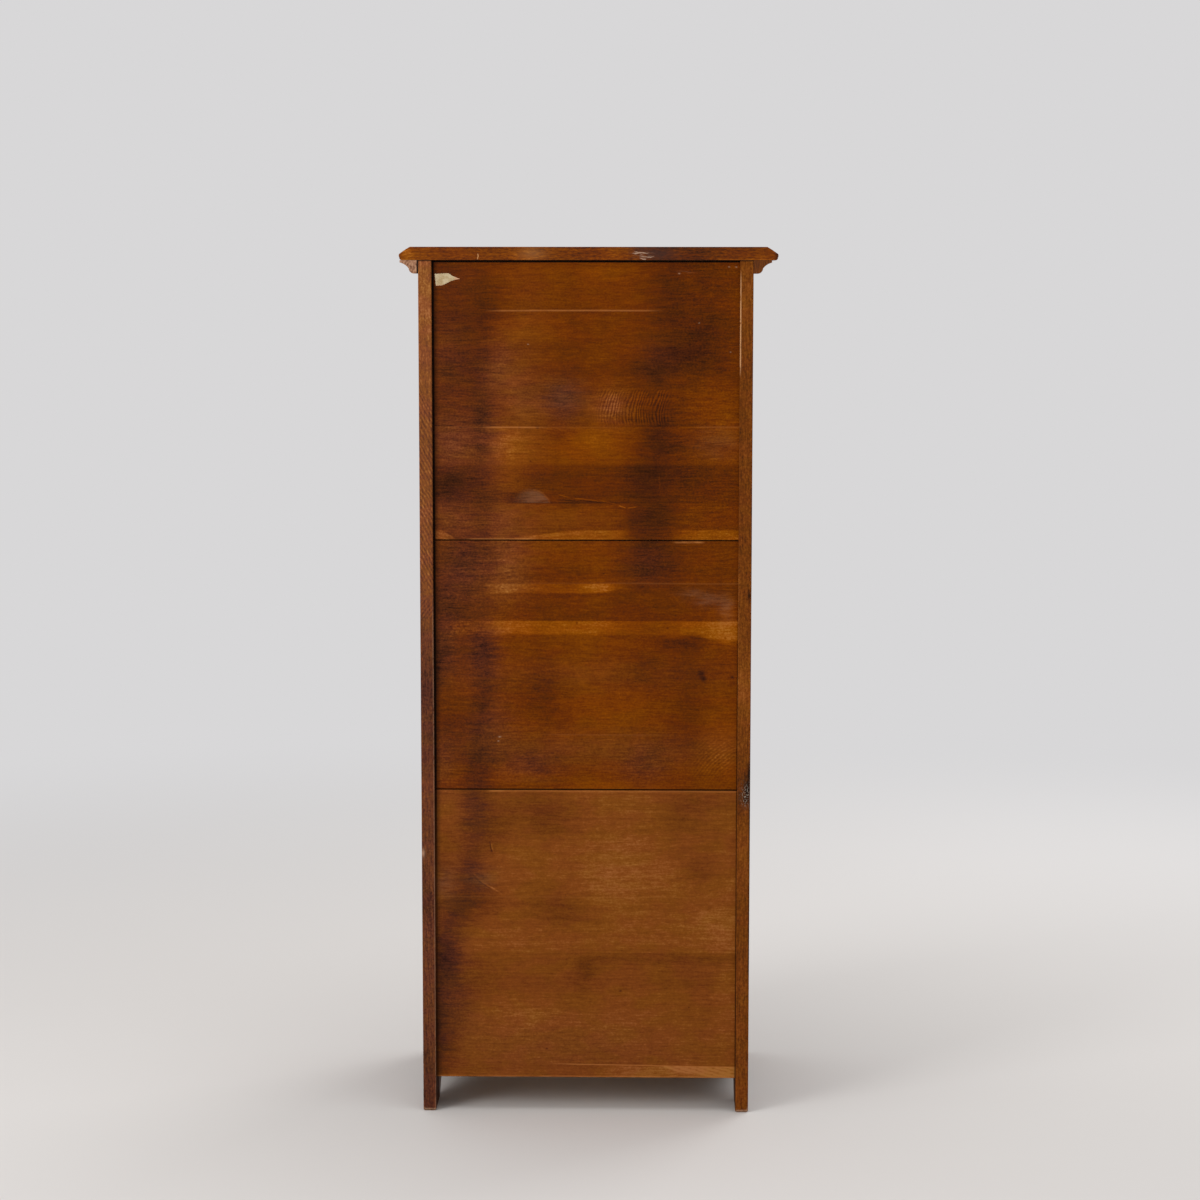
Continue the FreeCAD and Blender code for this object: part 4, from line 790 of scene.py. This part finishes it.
def right_post_marks(board, stain, fleck):
    """The rubbed arris with a painted highlight along it, the knot and the dark outline of the post on the
    right from behind.
    """
    x, z = board.x, board.z
    # the inner arris: pale where it is worn and chipped, and a painted highlight where it faces the light
    arris = stripe(z, 1377, 1549, 14) * (x + 279.7).abs().ramp(1.7, 0.5)
    rubbed_and_lit = fleck.ramp(0.3, 0.46) * arris * z.ramp(1560, 1470).times_plus(0.4, 0.6)
    stain = mixed(stain, WORN_AND_LIT_ARRIS, rubbed_and_lit)
    for px, pz, across, up, depth in KNOTS:
        spot = board.patch(board.here, px, pz, across, up) * fleck.times_plus(1.4, 0.4)
        stain = mixed(stain, DARK_GRIME_AND_SHADE, (spot * depth).clamped())
    specks = board.noise((2.4, 2.4, 3.4), 2, 0.6, 15).ramp(0.5, 0.64)
    fibres = board.patch(board.here, -294, 600, 8, 18) * specks
    stain = mixed(stain, KNOT_FIBRES, (fibres * 0.9).clamped())
    outline = x.ramp(-299.5, -301.6) * stripe(z, 262, 591, 20)
    return mixed(stain, DARK_GRIME_AND_SHADE, outline * 0.7)


def top_board(seed):
    """The top: polished above, with a rough-sawn, scuffed rear edge."""
    board = Board("wood_top_board", "X", seed)
    x, z = board.x, board.z
    board.grow((70, 1480), ring=5, line=4)
    polished = through_ramp(board.tone(0.5, cloud=0.25), FRONT_STAIN)
    tone = board.tone(0.56, streak=0.15, lines=0.5, late=0.06, cloud=0.08)
    for middle, half, lighter in TOP_EDGE_ZONES:
        zone = board.patch(board.here, middle, TOP_MIDDLE_Z, half, EVERYWHERE)
        tone = zone.times_plus(lighter, tone)
    tone = (z.ramp(1579.4, 1577.6) * z.ramp(1575.8, 1577) * x.ramp(-230, -250)).times_plus(0.2, tone)
    tone = z.ramp(1597, 1599.4).times_plus(-0.12, tone)
    drawn = board.strayed(board.noise((12, 12, 12), 2, 0.5, seed + 3, coloured=True), 8, 8)
    fleck = board.noise((13, 13, 2.6), 2, 0.6, seed + 8)
    grit = board.noise((8, 8, 2.6), 3, 0.7, seed + 9)
    tone = (grit - 0.5).times_plus(1.15, tone)
    stain = board.blotched(through_ramp(tone, BACK_UPPER))
    cold = board.patch(drawn, -130, TOP_MIDDLE_Z, 30, 14).most(board.patch(drawn, -104, 1595, 22, 6) * 0.8)
    stain = mixed(stain, COLD_STAIN, cold * 0.8)
    scuff = board.patch(drawn, -102, 1585, 16, 6) * fleck.ramp(0.48, 0.68) * 0.36
    for start, end, width in SCUFF_STROKES:
        scuff = (board.scratch(drawn, start, end, width) * 0.7).most(scuff)
    stain = layered(
        stain, (SCUFFED, scuff),
        (PALE_MARK, board.scratch(drawn, (194, 1576.5), (194.5, 1588), 1.8) * 0.8),
        (VEIL, board.patch(drawn, 96, TOP_MIDDLE_Z, 24, 12) * 0.35),
        (DARK_GRIME_AND_SHADE, z.ramp(1577.2, 1576) * 0.8), (DARK_GRIME_AND_SHADE, x.ramp(-338, -345) * 0.55),
    )
    board.finish("top_board", mixed(polished, stain, board.y.ramp(*TOP_FACE)), 0.42, 0.08, worn=0.3)


def crown(seed):
    """The crown moulding: its grain follows each length round the mitres."""
    board = Board("wood_crown_moulding", "X", seed)
    x, y, z = board.x, board.y, board.z
    low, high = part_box("crown_moulding")
    from_mitre = (x.abs() - high.x / MM) - (low.y / MM - y)
    sides = from_mitre.ramp(-0.2, 0.2)
    board.turn(sides.times_plus(y - x, x), z, sides.times_plus(x - y, y))
    board.grow((1500, 340), ring=4, line=3.6)
    stain = through_ramp(board.tone(0.48), FRONT_STAIN)
    raw = through_ramp(board.noise((3, 3, 5), 2, 0.6, seed + 2), CUT_END)
    plain = through_ramp(board.tone(0.5, lines=0.3), GOLDEN_STAIN)
    left = x.ramp(-1, 1)
    cut_end = layered(plain, (raw, left), (DARK_GRIME_AND_SHADE, x.ramp(305.6, 304.4) * left))
    board.finish("crown_moulding", mixed(stain, cut_end, y.ramp(*CROWN_FACE)), 0.42, 0.14, worn=0.3)


def plain_board(node, grain, seed, stain, middle, roughness, specular, ring=4.5, **strengths):
    """A board whose pith lies 90 mm behind its middle."""
    low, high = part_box(node)
    centre = [(a + b) / 2 / MM for a, b in zip(low, high)]
    along, across, through = GRAIN_AXES[grain]
    board = Board("wood_" + node, grain, seed)
    board.grow((centre[across] + 11 * math.sin(seed), centre[through] + 90), ring=ring)
    base = through_ramp(board.tone(middle, **strengths), stain)
    if node == "rear_rails":
        # the slit under the top shows the topmost rail, which lies in the dark there
        base = mixed(base, DARK_GRIME_AND_SHADE, board.z.ramp(1556, 1572))
    board.finish(node, base, roughness, specular)


CASE_BOARDS = {
    "X": ["front_rail_top", "front_rail_middle", "front_rail_drawer", "front_apron", "drawer_upper_front",
          "drawer_lower_front", "door_left_bottom_rail", "door_left_middle_rail", "door_left_top_rail",
          "door_right_bottom_rail", "door_right_middle_rail", "door_right_top_rail"],
    "Y": ["side_rails_left", "side_rails_right"],
    "Z": ["post_front_left", "post_front_right", "side_panels_left", "side_panels_right",
          "door_left_hinge_stile", "door_left_meeting_stile", "door_left_panels",
          "door_right_hinge_stile", "door_right_meeting_stile", "door_right_panels"],
}
INSIDE_BOARDS = {
    "X": ["rear_rails", "shelves", "cupboard_floor", "dust_board", "drawer_upper_back", "drawer_lower_back",
          "drawer_upper_bottom", "drawer_lower_bottom", "top_glue_blocks"],
    "Y": ["floor_cleats", "drawer_runners", "drawer_upper_sides", "drawer_lower_sides", "shelf_pegs"],
}
TURNED_KNOBS = {
    "Y": ["door_left_knob", "door_right_knob", "drawer_upper_knobs", "drawer_lower_knobs"],
}
PLAIN_WOODS = [
    # nodes by grain, stain, middle tone, roughness, specular level, and what else differs
    (CASE_BOARDS, FRONT_STAIN, 0.5, 0.4, 0.22, {}),
    (INSIDE_BOARDS, BARE_PINE, 0.55, 0.6, 0.25, {"ring": 6, "late": 0.26, "pore": 0.05}),
    (TURNED_KNOBS, TURNED, 0.55, 0.3, 0.4, {}),
]
FIRST_SEED = 30
SEED_STEP = 1.7
POST_SEEDS = {"post_rear_right": 61, "post_rear_left": 67}
TOP_SEED = 71
CROWN_SEED = 73
BRASS_NODES = ["hinge_leaves_case", "hinge_leaves_door_left", "hinge_leaves_door_right", "hinge_pins",
               "escutcheon", "door_bolt", "door_bolt_plate", "lock_keeper"]
STEEL_NODES = ["key", "lock_bolt", "lock_case"]
# Each metal's clean shade, its tarnish and its spots
BRASS_SHADES = (colour(176, 140, 78), colour(112, 82, 44), colour(58, 42, 26))
STEEL_SHADES = (colour(128, 122, 116), colour(74, 66, 60), colour(80, 46, 28))


def metal(name, names, metal_shades, roughness):
    """A tarnished metal, brighter on its edges, put on those nodes."""
    clean, tarnish, spots = metal_shades
    surface = Surface(name)
    broad = surface.noise((9, 9, 9), 3, 0.6, 2)
    small = surface.noise((1.6, 1.6, 1.6), 2, 0.6, 3)
    edge, _ = surface.arris(0.5)
    spotted = small.ramp(0.6, 0.74) * 0.7
    shade = layered(clean, (tarnish, broad.ramp(0.38, 0.68)), (spots, spotted), (clean, edge * 0.7))
    rough = broad.times_plus(0.35, roughness - 0.1) - edge * 0.1
    surface.set(base_color=shade, metallic=1, roughness=rough)
    surface.bump(small, 0.05, 0.4)
    dress(names, surface)
    return surface


def make_materials():
    """Dresses every node of the CAD model, and gives the two metals for the screws."""
    for part in PANEL_TONE:
        back_panel(part)
    for node, seed in POST_SEEDS.items():
        rear_post(node, seed)
    top_board(TOP_SEED)
    crown(CROWN_SEED)
    seed = FIRST_SEED
    for boards, stain, middle, roughness, specular, others in PLAIN_WOODS:
        for grain, names in boards.items():
            for node in names:
                seed += SEED_STEP
                plain_board(node, grain, seed, stain, middle, roughness, specular, **others)
    brass = metal("aged_brass", BRASS_NODES, BRASS_SHADES, 0.42)
    steel = metal("dark_steel", STEEL_NODES, STEEL_SHADES, 0.5)
    return brass, steel


# ------------------------------------------------------------------------------
# Screws and pins: each group is one piece that lies on the metal it holds. Sizes are in millimetres
HEAD_STEPS = 10
HEAD_SUNK = -0.2              # how far a head reaches into the metal
SEAT_PROUD = 0.04
SEAT_MARGIN = 0.3
SLOT_SHARE = 0.16             # half the slot's width, as a share of the head's radius
HINGE_LENGTH = 60
HINGE_SCREW_PITCH = 20
HINGE_SCREW_Y = -183.5
LEAF_FACE = {"case": 262, "door": 261.5}
LOCK_SCREW_INSET = 4.5
KEEPER_SCREW_INSET = 3.6
KEEPER_SCREW_ASIDE = -1.5
BOLT_PLATE_THICKNESS = 1.5
BOLT_SCREW_ASIDE = 5.6
BOLT_SCREW_UP = 6
ESCUTCHEON_PIN_INSET = 3.4


def add_piece(name, mesh, surface, body):
    """A mesh of the scene's own, in one material, that rides on a body."""
    mesh.materials.append(surface.material)
    piece = bpy.data.objects.new(name, mesh)
    bpy.context.scene.collection.objects.link(piece)
    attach(piece, body)


def turns(count):
    """That many angles round a circle."""
    return [2 * math.pi * i / count for i in range(count)]


def loft(mesh, rings):
    """Faces from each closed ring of points to the next, and one over the last ring."""
    rings = [[mesh.verts.new((x * MM, y * MM, z * MM)) for x, y, z in ring] for ring in rings]
    for below, above in zip(rings, rings[1:]):
        for i in range(len(below)):
            j = (i + 1) % len(below)
            mesh.faces.new((below[i], below[j], above[j], above[i]))
    mesh.faces.new(rings[-1])


def prism(mesh, radius, angles, high, inset):
    """A solid on the outline of those angles, with its upper edge eased by inset."""
    outline = [Vector((math.cos(a), math.sin(a))) * radius for a in angles]
    eased = 1 - inset / max(p.length for p in outline)
    steps = ((HEAD_SUNK, 1), (high - inset, 1), (high, eased))
    loft(mesh, [[(p.x * scale, p.y * scale, height) for p in outline] for height, scale in steps])


def slotted_head(mesh, radius, proud):
    """A dark seat, and on it the two halves of a countersunk head with the slot between them."""
    prism(mesh, radius + SEAT_MARGIN, turns(3 * HEAD_STEPS), SEAT_PROUD, 0.01)
    start = math.asin(SLOT_SHARE)
    span = math.pi - 2 * start
    for side in (0, math.pi):
        angles = [side + start + span * i / HEAD_STEPS for i in range(HEAD_STEPS + 1)]
        prism(mesh, radius, angles, proud, 0.05)


def domed_pin(mesh, radius, proud):
    """A round-headed pin."""
    rings = []
    for rise in (0, 0.35, 0.7, 0.92):
        reach = radius * math.sqrt(1 - rise * rise)
        circle = [(math.cos(a) * reach, math.sin(a) * reach, rise * proud) for a in turns(2 * HEAD_STEPS)]
        rings.append(circle)
    loft(mesh, rings)


def fasten(name, places, facing, shape, radius, proud, surface, body):
    """One piece made of a head at each place, on a face that looks along facing."""
    whole = bmesh.new()
    for number, place in enumerate(places):
        head = bmesh.new()
        shape(head, radius, proud)
        outward = Vector(facing).to_track_quat("Z", "Y").to_matrix().to_4x4()
        slot_turn = Matrix.Rotation(0.5 + 2.4 * number, 4, "Z")
        head.transform(Matrix.Translation(Vector(place) * MM) @ outward @ slot_turn)
        part = bpy.data.meshes.new("part")
        head.to_mesh(part)
        whole.from_mesh(part)
        bpy.data.meshes.remove(part)
        head.free()
    mesh = bpy.data.meshes.new(name)
    whole.to_mesh(mesh)
    whole.free()
    add_piece(name, mesh, surface, body)


def hinge_screws(brass):
    low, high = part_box("hinge_leaves_case")
    middles = (low.z / MM + HINGE_LENGTH / 2, high.z / MM - HINGE_LENGTH / 2)
    heights = [z + step * HINGE_SCREW_PITCH for z in middles for step in (-1, 0, 1)]
    for side, door in ((-1, "door_left"), (1, "door_right")):
        for body, kind, out in (("case", "case", -1), (door, "door", 1)):
            places = [(side * LEAF_FACE[kind], HINGE_SCREW_Y, z) for z in heights]
            name = "hinge_screws_" + kind + ("_left" if side < 0 else "_right")
            fasten(name, places, (side * out, 0, 0), slotted_head, 2.4, 0.15, brass, body)


def box_mm(node):
    return [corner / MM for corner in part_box(node)]


def lock_screws(brass, steel):
    low, high = box_mm("lock_case")
    inset = LOCK_SCREW_INSET
    places = [(x, high.y, z)
              for x in (low.x + inset, high.x - inset) for z in (low.z + inset, high.z - inset)]
    fasten("lock_screws", places, (0, 1, 0), slotted_head, 2.3, 0.3, steel, "door_right")
    low, high = box_mm("lock_keeper")
    x = (low.x + high.x) / 2 + KEEPER_SCREW_ASIDE
    places = [(x, high.y, z) for z in (low.z + KEEPER_SCREW_INSET, high.z - KEEPER_SCREW_INSET)]
    fasten("keeper_screws", places, (0, 1, 0), slotted_head, 1.8, 0.3, brass, "door_left")


def bolt_plate_screws(brass):
    low, high = box_mm("door_bolt_plate")
    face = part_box("door_left_hinge_stile")[1].y / MM + BOLT_PLATE_THICKNESS
    places = [((low.x + high.x) / 2 + aside, face, (low.z + high.z) / 2 + up)
              for aside in (-BOLT_SCREW_ASIDE, BOLT_SCREW_ASIDE) for up in (-BOLT_SCREW_UP, BOLT_SCREW_UP)]
    fasten("bolt_plate_screws", places, (0, 1, 0), slotted_head, 1.7, 0.3, brass, "door_left")


def escutcheon_pins(brass):
    low, high = box_mm("escutcheon")
    x = (low.x + high.x) / 2
    places = [(x, low.y, z) for z in (low.z + ESCUTCHEON_PIN_INSET, high.z - ESCUTCHEON_PIN_INSET)]
    fasten("escutcheon_pins", places, (0, -1, 0), domed_pin, 1.25, 0.6, brass, "door_right")


# ------------------------------------------------------------------------------
# The scrap of paper left on the upper back panel. Places are (x, z) in millimetres
PAPER_OUTLINE = [(272.7, 1551.4), (247.7, 1552.7), (241.2, 1547.9), (227.7, 1542.7), (238.2, 1540.5),
                 (245.6, 1537.4), (258.9, 1531), (270.6, 1530.4)]
PAPER_MIDDLE = Vector((254, 1543))
PAPER_RINGS = 7
PAPER_THICKNESS = 0.2
PAPER_SUNK = -0.05            # how far its rim reaches into the wood
RIM_LIFTED = 0.5
RIPPLE_HEIGHT = 0.06
TEAR_STEP = 1.1
TEAR_SEED = 5
CUT_RUN = 5                   # a side with less run than this along x was cut, not torn
TEAR_DEPTH = {"cut": 0.08, "torn": 0.24}
PAPER_SHADE = colour(197, 178, 142)
PAPER_STAINED = colour(176, 150, 109)
PAPER_FIBRE = colour(214, 198, 168)
PAPER_TORN = colour(208, 158, 124)


def paper_surface():
    surface = Surface("old_paper")
    fibre = surface.noise((1.4, 1.4, 0.7), 2, 0.6, 41)
    stained = surface.noise((11, 11, 8), 2, 0.5, 42)
    torn = surface.x.ramp(240, 233).most(surface.z.ramp(1533, 1531.4) * 0.6)
    shade = layered(
        PAPER_SHADE, (PAPER_STAINED, stained.ramp(0.36, 0.66)), (PAPER_FIBRE, fibre.ramp(0.55, 0.72) * 0.5),
        (PAPER_TORN, torn * 0.8),
    )
    surface.set(base_color=shade, roughness=0.85, specular_ior_level=0.2)
    surface.bump(fibre, 0.05, 0.5)
    return surface


def paper_edge():
    """Points round the scrap, ragged where it was torn."""
    rng = np.random.default_rng(TEAR_SEED)
    edge = []
    corners = [Vector(point) for point in PAPER_OUTLINE]
    for start, end in zip(corners, corners[1:] + corners[:1]):
        run = end - start
        aside = Vector((-run.y, run.x)).normalized()
        depth = TEAR_DEPTH["cut" if abs(run.x) < CUT_RUN else "torn"]
        steps = max(2, round(run.length / TEAR_STEP))
        for i in range(steps):
            edge.append(start + run * (i / steps) + aside * rng.normal(0, depth))
    return edge


def paper_scrap():
    """A torn corner of a pasted sheet: rings of points from its middle to its ragged edge."""
    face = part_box("back_panel_upper")[1].y / MM
    edge = paper_edge()
    mesh = bmesh.new()
    rings = []
    for ring in range(1, PAPER_RINGS + 1):
        share = ring / PAPER_RINGS
        points = [PAPER_MIDDLE + (point - PAPER_MIDDLE) * share for point in edge]
        lift = PAPER_THICKNESS + RIM_LIFTED * max(0, share - 0.7)
        heights = [face + lift + RIPPLE_HEIGHT * math.sin(0.9 * p.x) * math.sin(0.7 * p.y) for p in points]
        rings.append([mesh.verts.new((p.x * MM, y * MM, p.y * MM)) for p, y in zip(points, heights)])
    middle = mesh.verts.new((PAPER_MIDDLE.x * MM, (face + PAPER_THICKNESS) * MM, PAPER_MIDDLE.y * MM))
    skirt = [mesh.verts.new((p.x * MM, (face + PAPER_SUNK) * MM, p.y * MM)) for p in edge]
    for i in range(len(edge)):
        j = (i + 1) % len(edge)
        mesh.faces.new((middle, rings[0][i], rings[0][j]))
        for inner, outer in zip(rings, rings[1:] + [skirt]):
            mesh.faces.new((inner[i], outer[i], outer[j], inner[j]))
    bmesh.ops.recalc_face_normals(mesh, faces=mesh.faces)
    data = bpy.data.meshes.new("paper_scrap")
    mesh.to_mesh(data)
    mesh.free()
    add_piece("paper_scrap", data, paper_surface(), "case")


# ------------------------------------------------------------------------------
# Studio. Places are in metres
BACKGROUND = colour(216, 215, 216)
SKY_WHITE = (1, 1, 1, 1)
SKY_LIGHT = 0.54
FLOOR_TONE = colour(222, 218, 215)
FLOOR_MOTTLE = colour(219, 215, 212)
FLOOR_HALF = 30
FLOOR_FADES = (700, 4200)     # how far from the press the floor turns to the background, in millimetres
LIGHTS = {
    # place, what it points at, width, height, watts
    "window": ((3.3, 3, 2), (0, 0.2, 0.8), 1.8, 2.2, 84),
    "fill": ((-2.8, -3.4, 2.2), (0, -0.2, 0.8), 2.4, 2.4, 70),
    "ceiling": ((0, 0.3, 4.2), (0, 0, 0), 3.2, 3.2, 52),
}


def make_sky():
    """White light from all round, that the camera and reflections see as the plain background."""
    world = bpy.data.worlds.new("studio")
    bpy.context.scene.world = world
    world.use_nodes = True
    tree = world.node_tree
    tree.nodes.clear()
    light = add_node(tree, "Background", (SKY_WHITE, SKY_LIGHT))
    seen = add_node(tree, "Background", (BACKGROUND,))
    path = tree.nodes.new("ShaderNodeLightPath").outputs
    rays = ("Is Camera Ray", "Is Glossy Ray", "Is Transmission Ray")
    camera, glossy, through = (Val(tree, path[ray]) for ray in rays)
    shown = add_node(tree, "MixShader", (camera.most(glossy).most(through), light, seen))
    feed(tree, tree.nodes.new("ShaderNodeOutputWorld").inputs["Surface"], shown)


def make_floor():
    """A plain pale floor that fades into the background."""
    mesh = bpy.data.meshes.new("floor")
    half = FLOOR_HALF
    corners = [(-half, -half, 0), (half, -half, 0), (half, half, 0), (-half, half, 0)]
    mesh.from_pydata(corners, [], [(0, 1, 2, 3)])
    floor = bpy.data.objects.new("floor", mesh)
    bpy.context.scene.collection.objects.link(floor)
    surface = Surface("floor_paint")
    tree = surface.tree
    mottle = surface.noise((900, 900, 900), 2, 0.5, 1)
    surface.set(base_color=mixed(FLOOR_TONE, FLOOR_MOTTLE, mottle), roughness=0.8, specular_ior_level=0.1)
    far = vector_math("LENGTH", vector_math("MULTIPLY", surface.here, (1, 1, 0)))
    glow = add_node(tree, "Emission", (BACKGROUND,))
    painted = Val(tree, surface.shader.outputs[0])
    shown = add_node(tree, "MixShader", (far.ramp(*FLOOR_FADES), painted, glow))
    feed(tree, tree.nodes["Material Output"].inputs["Surface"], shown)
    mesh.materials.append(surface.material)


def make_lights():
    for name, (place, aim, width, height, watts) in LIGHTS.items():
        data = bpy.data.lights.new(name, "AREA")
        data.shape = "RECTANGLE"
        data.size = width
        data.size_y = height
        data.energy = watts
        lamp = bpy.data.objects.new(name, data)
        lamp.location = place
        lamp.rotation_mode = "QUATERNION"
        lamp.rotation_quaternion = (Vector(aim) - Vector(place)).to_track_quat("-Z", "Y")
        bpy.context.scene.collection.objects.link(lamp)


make_camera()
make_sky()
make_floor()
make_lights()
brass, steel = make_materials()
hinge_screws(brass)
lock_screws(brass, steel)
bolt_plate_screws(brass)
escutcheon_pins(brass)
paper_scrap()

bpy.context.scene.view_settings.view_transform = "Standard"
